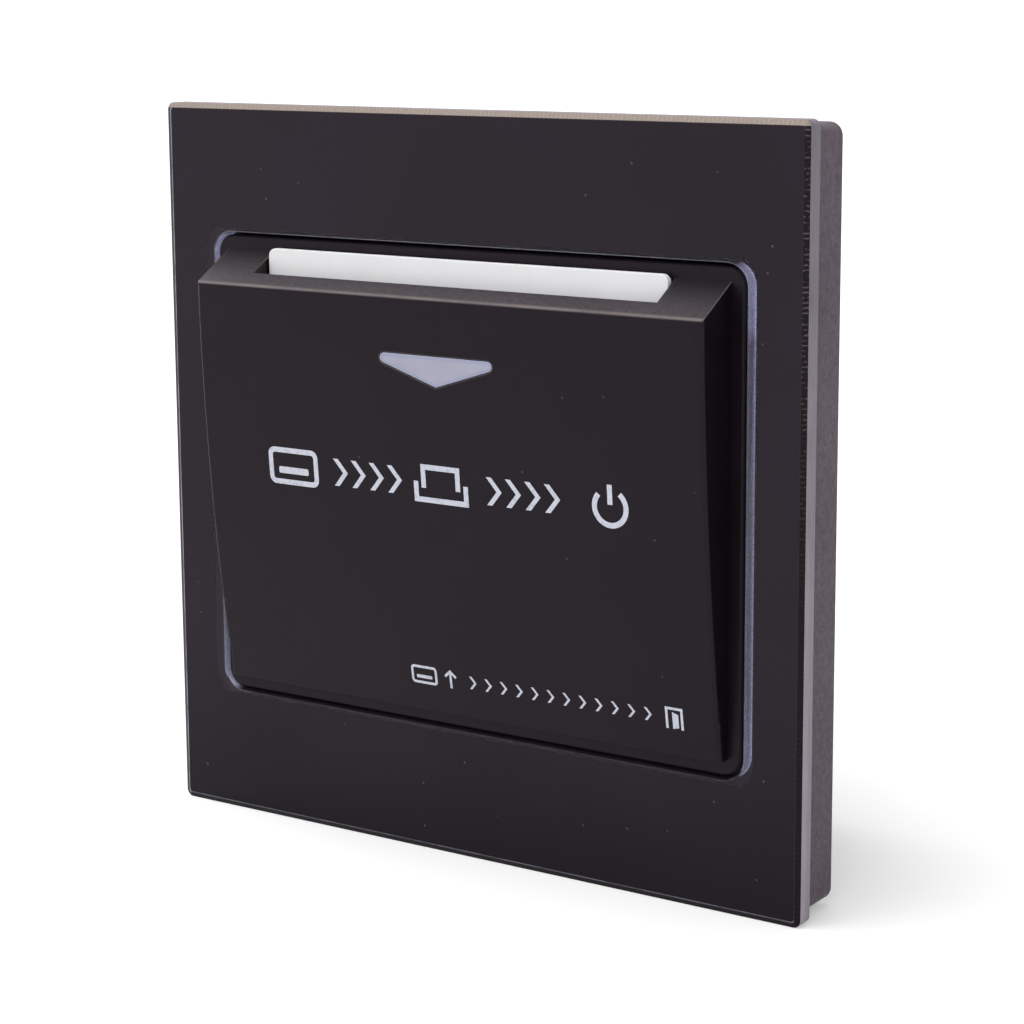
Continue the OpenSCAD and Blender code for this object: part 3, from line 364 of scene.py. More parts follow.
def window_edge():
    """Ground edge of the window: matt and milky, with painted shade on its top and bottom walls and
    a faint painted glow on its sides for light that comes through the glass.
    """
    mat, w = start("window_edge")
    mottle = grain(w, 0.22, 3.0)
    x, depth, height = in_mm(w, "XYZ")
    sides = ease(w, w.maths("ABSOLUTE", x), WINDOW_W - 2.2, WINDOW_W - 0.8)
    pale = between(w, spread(w, mottle), (0.29, 0.29, 0.41, 1), (0.57, 0.56, 0.76, 1))
    # Painted shade: the top and bottom walls are dark, only the side walls milky
    base = between(w, sides, (0.016, 0.014, 0.020, 1), pale)
    # Painted light: a glow, stronger near the top and towards the back, for light that reaches the
    # side walls through the glass
    lit = 0.03 + ease(w, height, 19.5, 21.5) * 0.22 + ease(w, height, -17.0, -25.0) * 0.08
    lit = (lit + ease(w, depth, -7.3, -6.5) * 0.16) * sides * spread(w, mottle, 0.7, 1.3)
    glow = between(w, lit, (0.0, 0.0, 0.0, 1), (0.37, 0.37, 0.62, 1))
    return close(mat, surface(w, Base_Color=base, Roughness=spread(w, mottle, 0.5, 0.7),
                              Emission_Color=glow, Emission_Strength=1.0,
                              Normal=relief(w, mottle, 0.006)))


def glint_line():
    """Line between front and bevel: it catches light at the left and at the foot of the panel."""
    mat, w = start("glint_line")
    x, z = in_mm(w, "XZ")
    end = BEVEL_W + 0.3 - GLASS_HALF
    lit = w.maths("MAXIMUM", x < end, (z < end) * 0.35)
    lit = lit * ease(w, grain(w, 2.5, 3.0), 0.3, 0.6, 0.45, 1.0)
    base = between(w, lit, (0.0095, 0.0040, 0.0115, 1), (0.36, 0.35, 0.43, 1))
    return close(mat, surface(w, Base_Color=base, Roughness=0.3, IOR=1.32))


def ground_arris(name, colour, foot_mm=-100.0):
    """Narrow pale line where a sharp edge of the glass is taken off, dark with painted shade along
    its foot.
    """
    mat, w = start(name)
    base = between(w, spread(w, grain(w, 0.5, 3.0)), shade(colour, 0.7), shade(colour, 1.15))
    height, = in_mm(w, "Z")
    # Painted shade: below foot_mm the line turns dark
    base = between(w, height < foot_mm, base, (0.012, 0.009, 0.013, 1))
    return close(mat, surface(w, Base_Color=base, Roughness=spread(w, grain(w, 0.3), 0.5, 0.7)))


def back_paint():
    """Black enamel on the back of the glass, with a faint painted glow for the little light that
    spreads to it.
    """
    mat, w = start("back_paint")
    cloud = spread(w, grain(w, 20.0, 3.0))
    base = between(w, cloud, (0.0050, 0.0020, 0.0062, 1), (0.0070, 0.0032, 0.0086, 1))
    faint = between(w, cloud, (0.0070, 0.0020, 0.0090, 1), (0.0090, 0.0030, 0.0115, 1))
    return close(mat, surface(w, Base_Color=base, Roughness=spread(w, grain(w, 0.6), 0.55, 0.7),
                              Specular_IOR_Level=0.1, Emission_Color=faint, Emission_Strength=1.0))


def bonding_sheet():
    """Black foam tape between the glass and the frame."""
    mat, w = start("bonding_sheet")
    cells = grain(w, 0.25, 2.0)
    base = between(w, cells, (0.006, 0.006, 0.007, 1), (0.018, 0.017, 0.019, 1))
    return close(mat, surface(w, Base_Color=base, Roughness=spread(w, cells, 0.75, 0.9),
                              Normal=relief(w, cells, 0.02)))


def milky_lens():
    """The arrow: opal plastic, bluish on its outer edge and on the flat rim round the middle."""
    mat, w = start("milky_lens")
    cloud = grain(w, 3.0, 3.0)
    base = between(w, spread(w, cloud), (0.385, 0.388, 0.500, 1), (0.425, 0.428, 0.540, 1))
    base = between(w, rounded_edge_mask(w), base, (0.310, 0.330, 0.480, 1))
    return close(mat, surface(w, Base_Color=base, Roughness=spread(w, grain(w, 1.2), 0.28, 0.38),
                              Subsurface_Weight=0.15, Subsurface_Radius=(0.9, 0.9, 1.0),
                              Subsurface_Scale=0.5 * MM, Normal=relief(w, grain(w, 0.3), 0.003)))


def white_card():
    """Blank card: matt-laminated white plastic with faint rubbing from the slot."""
    mat, w = start("white_card")
    cloud = grain(w, 12.0, 3.0)
    rub = grain(w, 1.1, 4.0, stretched(w, 1.0, 1.0, 0.08))
    base = between(w, spread(w, cloud), (0.895, 0.892, 0.912, 1), (0.925, 0.922, 0.940, 1))
    base = between(w, ease(w, rub, 0.62, 0.78) * 0.10, base, (0.66, 0.66, 0.68, 1))
    edge = rounded_edge_mask(w) * ease(w, grain(w, 1.5, 3.0), 0.4, 0.65)
    base = between(w, edge * 0.35, base, (0.62, 0.62, 0.64, 1))
    rough = ease(w, rub, 0.3, 0.75, 0.34, 0.46)
    return close(mat, surface(w, Base_Color=base, Roughness=rough,
                              Normal=relief(w, grain(w, 0.2, 2.0), 0.0015)))


def white_ink():
    """Pad-printed ink: pale blue-white, slightly thin and uneven."""
    mat, w = start("white_ink")
    patchy = grain(w, 0.45, 3.0)
    base = between(w, ease(w, patchy, 0.28, 0.55), (0.50, 0.52, 0.62, 1), (0.66, 0.68, 0.78, 1))
    return close(mat, surface(w, Base_Color=base, Roughness=spread(w, patchy, 0.42, 0.55),
                              Normal=relief(w, patchy, 0.004)))


def drawn_metal(name, colour, roughness=0.28, lines=(1.0, 0.06, 1.0)):
    """Plated or drawn metal with fine lines along one axis and dull patches."""
    mat, w = start(name)
    line = grain(w, 0.12, 3.0, stretched(w, *lines))
    patch = grain(w, 2.5, 3.0)
    base = between(w, spread(w, patch), shade(colour, 0.82), shade(colour, 1.08))
    rough = spread(w, line * 0.6 + patch * 0.4, roughness - 0.08, roughness + 0.12)
    return close(mat, surface(w, Base_Color=base, Metallic=1.0, Roughness=rough,
                              Normal=relief(w, line, 0.002)))


def clear_plastic():
    """Light pipe and lamp body: polished clear plastic, faintly hazy."""
    mat, w = start("clear_plastic")
    haze = grain(w, 2.0, 2.0)
    base = between(w, haze, (0.93, 0.95, 0.96, 1), (0.98, 0.99, 1.0, 1))
    return close(mat, surface(w, Base_Color=base, Roughness=spread(w, haze, 0.03, 0.10), IOR=1.49,
                              Transmission_Weight=0.9))


def board_laminate():
    """Glass-fibre laminate under green resist, with tracks that show through it as paler lines."""
    mat, w = start("board_laminate")
    weave = w.node("ShaderNodeTexWave", {"wave_type": "BANDS", "bands_direction": "X"}, {
        "Vector": place(w), "Scale": 520.0, "Distortion": 1.0, "Detail": 1.0}, 1)
    tracks = w.node("ShaderNodeTexVoronoi", {"feature": "DISTANCE_TO_EDGE"}, {
        "Vector": place(w), "Scale": 260.0, "Randomness": 0.35}, "Distance")
    base = between(w, weave * 0.25, (0.010, 0.085, 0.030, 1), (0.016, 0.120, 0.045, 1))
    base = between(w, ease(w, tracks, 0.10, 0.16, 0.8, 0.0), base, (0.030, 0.190, 0.070, 1))
    return close(mat, surface(w, Base_Color=base, Roughness=ease(w, tracks, 0.05, 0.2, 0.28, 0.40),
                              Normal=relief(w, tracks, 0.01, 0.4)))


def banded_coat(name, colour, band):
    """Lacquered component body with faint dipping rings."""
    mat, w = start(name)
    rings = w.node("ShaderNodeTexWave", {"wave_type": "BANDS", "bands_direction": "X"}, {
        "Vector": place(w), "Scale": 150.0, "Distortion": 0.6}, 1)
    base = between(w, ease(w, rings, 0.55, 0.7), colour, band)
    return close(mat, surface(w, Base_Color=base, Roughness=spread(w, grain(w, 0.8), 0.25, 0.4),
                              Normal=relief(w, grain(w, 0.7, 3.0), 0.01)))


# ---------------------------------------------------------------- pieces

def as_piece(name, mesh, body, slot, *nodes):
    """A finished piece at the origin, on its body, standing for its CAD nodes."""
    made = bpy.data.objects.new(name, mesh)
    bpy.context.scene.collection.objects.link(made)
    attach(made, body)
    if nodes:
        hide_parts(*nodes)


def plain_mesh(bm, name, *mats):
    mesh = bpy.data.meshes.new(name)
    bm.to_mesh(mesh)
    bm.free()
    for mat in mats:
        mesh.materials.append(mat)
    return mesh


def evaluated(carrier, name):
    """The plain mesh of a carrier after its modifiers. The carrier is taken away."""
    bpy.context.scene.collection.objects.link(carrier)
    ready = carrier.evaluated_get(bpy.context.evaluated_depsgraph_get())
    result = bpy.data.meshes.new_from_object(ready)
    result.name = name
    carrier.modifiers.clear()
    bpy.data.objects.remove(carrier)
    return result


def wall(bm, near, far):
    """Quads between two rings that have as many points each."""
    n = len(near)
    return [bm.faces.new((near[i], near[(i + 1) % n], far[(i + 1) % n], far[i])) for i in range(n)]


def in_fixed_order(bm, mark):
    """The same mesh sorted by its points, because a bevel leaves another order each run."""
    points = sorted(bm.verts, key=lambda v: v.co[:])
    rank = {v: i for i, v in enumerate(points)}
    rows = []
    for face in bm.faces:
        ring = [rank[v] for v in face.verts]
        first = ring.index(min(ring))
        rows.append((ring[first:] + ring[:first], face[mark]))
    fresh = bmesh.new()
    fresh_mark = fresh.faces.layers.float.new("edge")
    verts = [fresh.verts.new(v.co) for v in points]
    for ring, value in sorted(rows):
        fresh.faces.new([verts[i] for i in ring])[fresh_mark] = value
    fresh.normal_update()
    bm.free()
    return fresh, fresh_mark


def softened(node, name, radius_mm, mat, angle=28.0, rim_mm=0.0):
    """A copy of a CAD solid with rounded edges, and a flat rim marked on its front if asked."""
    bm = bmesh.new()
    bm.from_mesh(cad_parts[node].data)
    bmesh.ops.remove_doubles(bm, verts=bm.verts[:], dist=WELD)
    bmesh.ops.dissolve_limit(bm, angle_limit=math.radians(0.15), use_dissolve_boundaries=False,
                             verts=bm.verts[:], edges=bm.edges[:])
    mark = bm.faces.layers.float.new("edge")
    sharp = [e for e in bm.edges if len(e.link_faces) == 2 and e.is_convex
             and e.calc_face_angle(0.0) > math.radians(angle)]
    done = bmesh.ops.bevel(bm, geom=sharp, offset=radius_mm * MM, offset_type="OFFSET", segments=3,
                           profile=0.5, clamp_overlap=False, affect="EDGES")
    for face in done["faces"]:
        face[mark] = EDGE_MARK
    bm, mark = in_fixed_order(bm, mark)
    if rim_mm:
        front = [f for f in bm.faces if f.normal.y < -0.9 and f[mark] < 0.5]
        ring = bmesh.ops.inset_region(bm, faces=front, thickness=rim_mm * MM, use_even_offset=True)
        for face in ring["faces"]:
            face[mark] = RIM_MARK
        for face in front:
            face[mark] = 0.0
    bmesh.ops.dissolve_degenerate(bm, dist=WELD, edges=bm.edges[:])
    stubs = [v for v in bm.verts if len(v.link_edges) == 2
             and min(e.calc_length() for e in v.link_edges) < STUB]
    bmesh.ops.dissolve_verts(bm, verts=stubs)
    bmesh.ops.triangulate(bm, faces=[f for f in bm.faces if len(f.verts) > 4])
    for face in bm.faces:
        face.smooth = True
    for edge in bm.edges:
        one_kind = len({face[mark] > 0.5 for face in edge.link_faces}) == 1
        edge.smooth = one_kind and edge.calc_face_angle(0.0) < math.radians(40)
    carrier = bpy.data.objects.new(name + "_carrier", plain_mesh(bm, name, mat))
    shading = carrier.modifiers.new("weighted_normal", "WEIGHTED_NORMAL")
    shading.keep_sharp, shading.weight = True, 60
    return evaluated(carrier, name)


def softened_piece(node, name, body, slot, *how, **more):
    """A softened copy that stands for its own CAD node."""
    as_piece(name, softened(node, name, *how, **more), body, slot, node)


def rounded_ring(half_w, half_h, r, steps=10):
    """Points of a rounded rectangle in x and z, anticlockwise seen from the front."""
    points = []
    for cx, cz, first in ((1, -1, -90), (1, 1, 0), (-1, 1, 90), (-1, -1, 180)):
        for i in range(steps + 1):
            a = math.radians(first + 90 * i / steps)
            points.append((cx * (half_w - r) + r * math.cos(a),
                           cz * (half_h - r) + r * math.sin(a)))
    return points


def glass_panel():
    """Closed plate of glass round its window: bevel, ground edges, arrises and enamelled back."""
    def outer(inset):
        return rounded_ring(GLASS_HALF - inset, GLASS_HALF - inset, max(0.25, GLASS_R - inset))

    def window(grow):
        return rounded_ring(WINDOW_W + grow, WINDOW_H + grow, WINDOW_R + grow)

    finishes = (black_glass(), ground_bevel(), ground_edge(), back_paint(), window_edge(),
                ground_arris("ground_arris", (0.40, 0.40, 0.48)),
                ground_arris("window_rim", (0.26, 0.26, 0.32), -26.6), glint_line())
    FRONT, BEVEL, EDGE, PAINT, WALL, ARRIS, RIM, GLINT = range(len(finishes))
    rings = [
        (outer(BEVEL_W + ARRIS_W), GLASS_FRONT, GLINT),
        (outer(BEVEL_W), GLASS_FRONT, BEVEL), (outer(0), GLASS_FRONT + BEVEL_D, EDGE),
        (outer(0), GLASS_BACK - ARRIS_W, ARRIS), (outer(ARRIS_W), GLASS_BACK, PAINT),
        (window(ARRIS_W), GLASS_BACK, WALL), (window(0), GLASS_BACK - ARRIS_W, WALL),
        (window(0), GLASS_FRONT + ARRIS_W, RIM), (window(ARRIS_W), GLASS_FRONT, FRONT),
    ]
    bm = bmesh.new()
    along = bm.loops.layers.uv.new("along")
    verts = [[bm.verts.new((x * MM, y * MM, z * MM)) for x, z in ring] for ring, y, _ in rings]
    lengths = [0.0]
    edge = outer(0)
    for here, after in zip(edge, edge[1:] + edge[:1]):
        lengths.append(lengths[-1] + math.dist(here, after) * MM)
    for k, (_, _, kind) in enumerate(rings):
        for i, face in enumerate(wall(bm, verts[k], verts[(k + 1) % len(rings)])):
            face.material_index = kind
            face.smooth = True
            for loop, (at, across) in zip(face.loops, ((i, 0), (i + 1, 0), (i + 1, 1), (i, 1))):
                loop[along].uv = (lengths[at], across)
    bmesh.ops.recalc_face_normals(bm, faces=bm.faces[:])
    mesh = plain_mesh(bm, "glass_panel_ground", *finishes)
    mesh.set_sharp_from_angle(angle=math.radians(20))
    as_piece("glass_panel_ground", mesh, HOUSING, "clear_glass", "glass_panel")


# ---------------------------------------------------------------- prints

def face_y(z):
    """Depth of the pocket's bowed face at a height, in mm."""
    return BOW_Y - math.sqrt(BOW_R ** 2 - (z - BOW_Z) ** 2)


def on_face(bm, outline, depth):
    """Points of an outline in x and z, at a depth from the bowed face, all in mm."""
    return [bm.verts.new((x * MM, (face_y(z) + depth) * MM, z * MM)) for x, z in outline]


def lay_ink(bm, outline):
    """A closed film of ink on the bowed face inside an outline."""
    front, back = (on_face(bm, outline, depth) for depth in (-INK_LIFT, INK_SINK))
    caps = [bm.faces.new(front), bm.faces.new(back[::-1])]
    for cap in caps:
        cap.normal_update()
    wall(bm, back, front)
    bmesh.ops.triangulate(bm, faces=caps)


def lay_loop(bm, outer, inner):
    """A closed film of ink between two outlines that have as many points each."""
    rings = [on_face(bm, outline, depth) for outline, depth in (
        (outer, -INK_LIFT), (inner, -INK_LIFT), (inner, INK_SINK), (outer, INK_SINK))]
    for near, far in zip(rings, rings[1:] + rings[:1]):
        wall(bm, near, far)


def stroke(points, width, closed=False):
    """Outline of a line of that width along points, or the pair of outlines of a closed one."""
    n, half = len(points), width / 2
    left, right = [], []
    for i, p in enumerate(points):
        before = points[(i - 1) % n] if closed or i else p
        after = points[(i + 1) % n] if closed or i < n - 1 else p
        a = (Vector(p) - Vector(before)).normalized() if before != p else None
        b = (Vector(after) - Vector(p)).normalized() if after != p else None
        a, b = a or b, b or a
        t = (a + b).normalized()
        reach = half / max(0.5, t.dot(a))
        left.append((p[0] - t.y * reach, p[1] + t.x * reach))
        right.append((p[0] + t.y * reach, p[1] - t.x * reach))
    return [(left, right)] if closed else [left + right[::-1]]


def box_outline(x0, z0, x1, z1, r):
    """Points of a small rounded box between two corners."""
    cx, cz, w, h = (x0 + x1) / 2, (z0 + z1) / 2, (x1 - x0) / 2, (z1 - z0) / 2
    return [(cx + x, cz + z) for x, z in rounded_ring(w, h, r, 4)]


def card_sign(cx, cz, w, h, line):
    """A card with its stripe."""
    x, z = (w - line) / 2, (h - line) / 2
    border = box_outline(cx - x, cz - z, cx + x, cz + z, h * 0.14)
    stripe = box_outline(cx - w * 0.30, cz - h * 0.20, cx + w * 0.30, cz - h * 0.02, h * 0.05)
    return [*stroke(border, line, True), stripe]


def arrow_sign(cx, cz, h, line):
    """A short straight arrow that points up."""
    tip, barb = cz + h / 2, cz + h * 0.12
    head = [(cx - h * 0.34, barb), (cx, tip - line * 0.55), (cx + h * 0.34, barb)]
    shaft = [(cx, cz - h / 2), (cx, tip - line * 1.1)]
    return [*stroke(head, line), *stroke(shaft, line)]


def pocket_sign(cx, cz, w, h, line):
    """A card going down into an open pocket."""
    x, low, lip = w / 2 - line / 2, cz - h / 2 + line / 2, cz + h * 0.04
    tray = [(cx - x, lip), (cx - x, low), (cx + x, low), (cx + x, lip)]
    inner = x - line * 1.7
    card = [(cx - inner, lip - h * 0.16), (cx - inner, cz + h / 2 - line / 2),
            (cx + inner, cz + h / 2 - line / 2), (cx + inner, lip - h * 0.16)]
    return [*stroke(tray, line), *stroke(card, line)]


def power_sign(cx, cz, d, line):
    """A ring open at the top with a bar in the gap."""
    r = d / 2 - line / 2
    ring = [(cx + r * math.sin(math.radians(a)), cz - d * 0.03 + r * math.cos(math.radians(a)))
            for a in range(38, 323, 12)]
    bar = [(cx, cz + d / 2 + d * 0.02), (cx, cz + d * 0.04)]
    return [*stroke(ring, line), *stroke(bar, line)]


def door_sign(cx, cz, w, h, line):
    """A door standing ajar in its frame."""
    x, low, high = w / 2 - line / 2, cz - h / 2, cz + h / 2 - line / 2
    jamb = [(cx - x, low), (cx - x, high), (cx + x, high), (cx + x, low)]
    leaf = [(cx - x * 0.25, low), (cx - x * 0.25, high - line * 1.3),
            (cx + x * 0.55, high - line * 2.2), (cx + x * 0.55, low + line * 0.6)]
    return [*stroke(jamb, line), leaf]


def new_tree(name, output, *inputs):
    """The wire of a new tree of Geometry Nodes, and the wires of its named inputs."""
    tree = bpy.data.node_groups.new(name, "GeometryNodeTree")
    for label, kind in inputs:
        tree.interface.new_socket(label, in_out="INPUT", socket_type="NodeSocket" + kind)
    tree.interface.new_socket(output, in_out="OUTPUT", socket_type="NodeSocketGeometry")
    given = tree.nodes.new("NodeGroupInput")
    return Wire(tree), {s.name: Wire(tree, s) for s in given.outputs if s.name}


def end_tree(w, geometry, finish):
    """The tree, with a finish on what it makes."""
    made = w.node("GeometryNodeSetMaterial", {}, {"Geometry": geometry, "Material": finish})
    out = w.tree.nodes.new("NodeGroupOutput")
    w.tree.links.new(made.socket, out.inputs[0])
    return w.tree


def grown(tree, name, mesh, **inputs):
    """The plain mesh that a node tree makes from a start mesh and its named inputs."""
    carrier = bpy.data.objects.new(name + "_carrier", mesh)
    modifier = carrier.modifiers.new("nodes", "NODES")
    modifier.node_group = tree
    sockets = {s.name: s.identifier for s in tree.interface.items_tree if s.in_out == "INPUT"}
    for key, value in inputs.items():
        modifier[sockets[key.replace("_", " ")]] = value
    return evaluated(carrier, name)


def row_on_face():
    """Nodes that repeat a small shape in a row and lay the row on the bowed face."""
    w, of = new_tree("row_on_face", "Row", ("Shape", "Geometry"), ("Count", "Int"),
                     ("Pitch", "Float"), ("Start X", "Float"), ("Height Z", "Float"),
                     ("Bow Radius", "Float"), ("Bow Centre Y", "Float"), ("Bow Centre Z", "Float"),
                     ("Finish", "Material"))
    first = w.node("ShaderNodeCombineXYZ", {}, {"X": of["Start X"], "Z": of["Height Z"]})
    step = w.node("ShaderNodeCombineXYZ", {}, {"X": of["Pitch"]})
    line = w.node("GeometryNodeMeshLine", {}, {
        "Count": of["Count"], "Start Location": first, "Offset": step})
    row = w.node("GeometryNodeInstanceOnPoints", {}, {"Points": line, "Instance": of["Shape"]})
    real = w.node("GeometryNodeRealizeInstances", {}, {0: row})
    spot = w.node("GeometryNodeInputPosition")
    x, y, z = (part_of(w, spot, axis) for axis in "XYZ")
    fall = z - of["Bow Centre Z"]
    bow = of["Bow Centre Y"] - (of["Bow Radius"] * of["Bow Radius"] - fall * fall) ** 0.5
    moved = w.node("ShaderNodeCombineXYZ", {}, {"X": x, "Y": y + bow, "Z": z})
    laid = w.node("GeometryNodeSetPosition", {}, {"Geometry": real, "Position": moved})
    return end_tree(w, laid, of["Finish"])


def chevron(height, line):
    """One closed chevron of ink that points along +x, flat, its film round depth 0."""
    h, reach, half = height / 2, height * 0.21, line / 2
    outline = [(-reach - half, h), (-reach + half, h), (reach + half, 0),
               (-reach + half, -h), (-reach - half, -h), (reach - half, 0)]
    bm = bmesh.new()
    front, back = ([bm.verts.new((x * MM, depth * MM, z * MM)) for x, z in outline]
                   for depth in (-INK_LIFT, INK_SINK))
    for arm in ((0, 1, 2, 5), (5, 2, 3, 4)):
        bm.faces.new([front[i] for i in arm])
        bm.faces.new([back[i] for i in arm][::-1])
    wall(bm, back, front)
    bmesh.ops.recalc_face_normals(bm, faces=bm.faces[:])
    return plain_mesh(bm, "chevron")


def ink_signs(name, signs, ink):
    """One piece of ink from outlines, and from pairs of outlines where a line is closed."""
    bm = bmesh.new()
    for sign in signs:
        if isinstance(sign, tuple):
            lay_loop(bm, *sign)
        else:
            lay_ink(bm, sign)
    bmesh.ops.recalc_face_normals(bm, faces=bm.faces[:])
    as_piece(name, plain_mesh(bm, name, ink), HOUSING, "pocket_plastic")


def prints():
    """Plain signs in place of words: card into pocket gives power, and card out at the door."""
    ink = white_ink()
    tree = row_on_face()
    bow = {"Bow_Radius": BOW_R * MM, "Bow_Centre_Y": BOW_Y * MM, "Bow_Centre_Z": BOW_Z * MM}

    def chevrons(name, height, count, pitch, first):
        row = grown(tree, name, chevron(height, line * 1.1), Count=count, Pitch=pitch * MM,
                    Start_X=first * MM, Height_Z=z * MM, Finish=ink, **bow)
        as_piece(name, row, HOUSING, "pocket_plastic")

    z, line = 1.7, 0.62
    ink_signs("use_signs", [*card_sign(-20.9, z, 7.2, 4.4, line),
                            *pocket_sign(0, z, 7.4, 4.4, line),
                            *power_sign(22.2, z, 4.6, line)], ink)
    chevrons("use_chevrons_left", 3.2, 4, 2.55, -14.0)
    chevrons("use_chevrons_right", 3.2, 4, 2.55, 7.2)
    z, line = -21.4, 0.30
    ink_signs("leave_signs", [*card_sign(-4.6, z, 3.6, 2.2, line),
                              *arrow_sign(-0.9, z, 2.2, line),
                              *door_sign(28.6, z, 2.2, 2.5, line)], ink)
    chevrons("leave_chevrons", 1.5, 12, 2.1, 2.2)


# ---------------------------------------------------------------- dressing the solids

def front_pieces():
    """What shows from the front: glass, pocket, frame, arrow and card."""
    glass_panel()
    softened_piece("pocket_cover", "pocket_cover_moulded", HOUSING, "pocket_plastic",
                   0.08, satin_black(), angle=58.0)
    softened_piece("panel_frame", "panel_frame_moulded", HOUSING, "frame_plastic",
                   0.20, speckled_frame())
    softened_piece("arrow_lens", "arrow_lens_moulded", HOUSING, "lens_plastic",
                   0.10, milky_lens(), rim_mm=0.32)
    softened_piece("key_card", "key_card_cut", CARD, "card_plastic", 0.08, white_card())


def marks_on_back():
    """Nodes that set a small shape out in rows and columns on a flat back."""
    w, of = new_tree("marks_on_back", "Marks", ("Shape", "Geometry"), ("Across", "Int"),
                     ("Up", "Int"), ("Pitch", "Float"), ("Middle Z", "Float"), ("Back Y", "Float"),
                     ("Finish", "Material"))
    grid = w.node("GeometryNodeMeshGrid", {}, {
        "Size X": (of["Across"] - 1.0) * of["Pitch"], "Size Y": (of["Up"] - 1.0) * of["Pitch"],
        "Vertices X": of["Across"], "Vertices Y": of["Up"]})
    middle = w.node("ShaderNodeCombineXYZ", {}, {"Y": of["Back Y"], "Z": of["Middle Z"]})
    upright = w.node("GeometryNodeTransform", {}, {
        "Geometry": grid, "Translation": middle, "Rotation": (math.pi / 2, 0.0, 0.0)})
    marks = w.node("GeometryNodeInstanceOnPoints", {}, {"Points": upright, "Instance": of["Shape"]})
    real = w.node("GeometryNodeRealizeInstances", {}, {0: marks})
    return end_tree(w, real, of["Finish"])


def ejector_mark(radius, proud):
    """The low round pad that an ejector pin leaves, a little proud of a back face at depth 0."""
    sides, sink = 40, 0.03
    turns = [2 * math.pi * i / sides for i in range(sides)]
    bm = bmesh.new()
    rings = [[bm.verts.new((r * math.cos(a) * MM, y * MM, r * math.sin(a) * MM)) for a in turns]
             for r, y in ((radius, -sink), (radius, proud * 0.4), (radius - proud, proud))]
    for near, far in zip(rings, rings[1:]):
        wall(bm, near, far)
    bm.faces.new(rings[0])
    bm.faces.new(rings[-1])
    bmesh.ops.recalc_face_normals(bm, faces=bm.faces[:])
    return plain_mesh(bm, "ejector_mark")


def rear_pieces():
    """The base and the marks of the ejector pins on its back."""
    plastic = moulded("base_plastic", (0.040, 0.040, 0.043), 0.5, 0.4, 0.012, edges=True)
    softened_piece("base_housing", "base_housing_moulded", HOUSING, "base_plastic", 0.15, plastic)
    rubbed = moulded("pin_polish", (0.046, 0.046, 0.049), 0.36, 0.4, 0.003)
    marks = grown(marks_on_back(), "ejector_marks", ejector_mark(2.0, 0.05), Across=3, Up=3,
                  Pitch=16.5 * MM, Middle_Z=4.5 * MM, Back_Y=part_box("base_housing")[1].y,
                  Finish=rubbed)
    as_piece("ejector_marks", marks, HOUSING, "base_plastic")


def inner_finishes():
    """Finishes of the solids that keep their own shape."""
    steel, brass = (0.56, 0.57, 0.58), (0.68, 0.50, 0.24)
    made = {
        "adhesive_sheet": bonding_sheet(),
        "card_guide": moulded("guide_plastic", (0.045, 0.045, 0.048), 0.45),
        "card_springs": drawn_metal("spring_steel", (0.60, 0.61, 0.62), 0.25, (1.0, 1.0, 0.05)),
        "guide_screws": drawn_metal("screw_zinc", steel, 0.30),
        "board_screws": drawn_metal("board_screw_zinc", steel, 0.30),
        "lever_pin": drawn_metal("pin_steel", (0.62, 0.62, 0.62), 0.18, (0.05, 1.0, 1.0)),
        "lever_spring": drawn_metal("coil_steel", (0.55, 0.55, 0.56), 0.25),
        "actuator_lever": moulded("lever_acetal", (0.78, 0.77, 0.72), 0.40, 0.3, 0.003,
                                  contrast=0.05),
        "switch_case": moulded("switch_case_plastic", (0.022, 0.022, 0.024), 0.35, 0.3, 0.004),
        "switch_plunger": moulded("plunger_plastic", (0.55, 0.05, 0.035), 0.40, 0.3, 0.003,
                                  contrast=0.08),
        "switch_lugs": drawn_metal("tinned_lugs", (0.72, 0.70, 0.66), 0.30, (1.0, 1.0, 0.06)),
        "light_pipe": clear_plastic(),
        "indicator_led": moulded("lamp_epoxy", (0.62, 0.66, 0.80), 0.18, 0.5, 0.001, contrast=0.06),
        "circuit_board": board_laminate(),
        "relay": moulded("relay_plastic", (0.020, 0.075, 0.26), 0.28, 0.4, 0.003, contrast=0.10),
        "film_capacitor": moulded("film_case", (0.62, 0.42, 0.035), 0.35, 0.4, 0.004,
                                  contrast=0.10),
        "electrolytic_capacitor": moulded("can_sleeve", (0.014, 0.020, 0.060), 0.30, 0.8, 0.003),
        "varistor": moulded("disc_coat", (0.020, 0.085, 0.22), 0.35, 0.9, 0.02, contrast=0.14),
        "fuse": moulded("fuse_case", (0.16, 0.060, 0.028), 0.35, 0.4, 0.004),
        "bridge_rectifier": moulded("bridge_epoxy", (0.012, 0.012, 0.013), 0.50, 0.3, 0.008),
        "control_chip": moulded("chip_epoxy", (0.014, 0.014, 0.015), 0.55, 0.25, 0.008),
        "resistors": banded_coat("resistor_coat", (0.30, 0.46, 0.50, 1), (0.16, 0.05, 0.02, 1)),
        "terminal_block": moulded("block_plastic", (0.045, 0.21, 0.075), 0.40, 0.35, 0.006,
                                  contrast=0.10),
        "terminal_clamps": drawn_metal("clamp_brass", brass, 0.30, (1.0, 1.0, 0.06)),
        "terminal_screws": drawn_metal("clamp_screw_zinc", (0.66, 0.64, 0.58), 0.30),
    }
    for node, mat in made.items():
        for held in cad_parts[node].material_slots:
            held.material = mat


# ---------------------------------------------------------------- floor, light, camera

def seen_directly(w):
    """1 for camera, glossy and transmission rays."""
    ray = w.tree.nodes.new("ShaderNodeLightPath")
    direct, glossy, through = (Wire(w.tree, ray.outputs[f"Is {kind} Ray"])
                               for kind in ("Camera", "Glossy", "Transmission"))
    return direct + glossy + through > 0.5


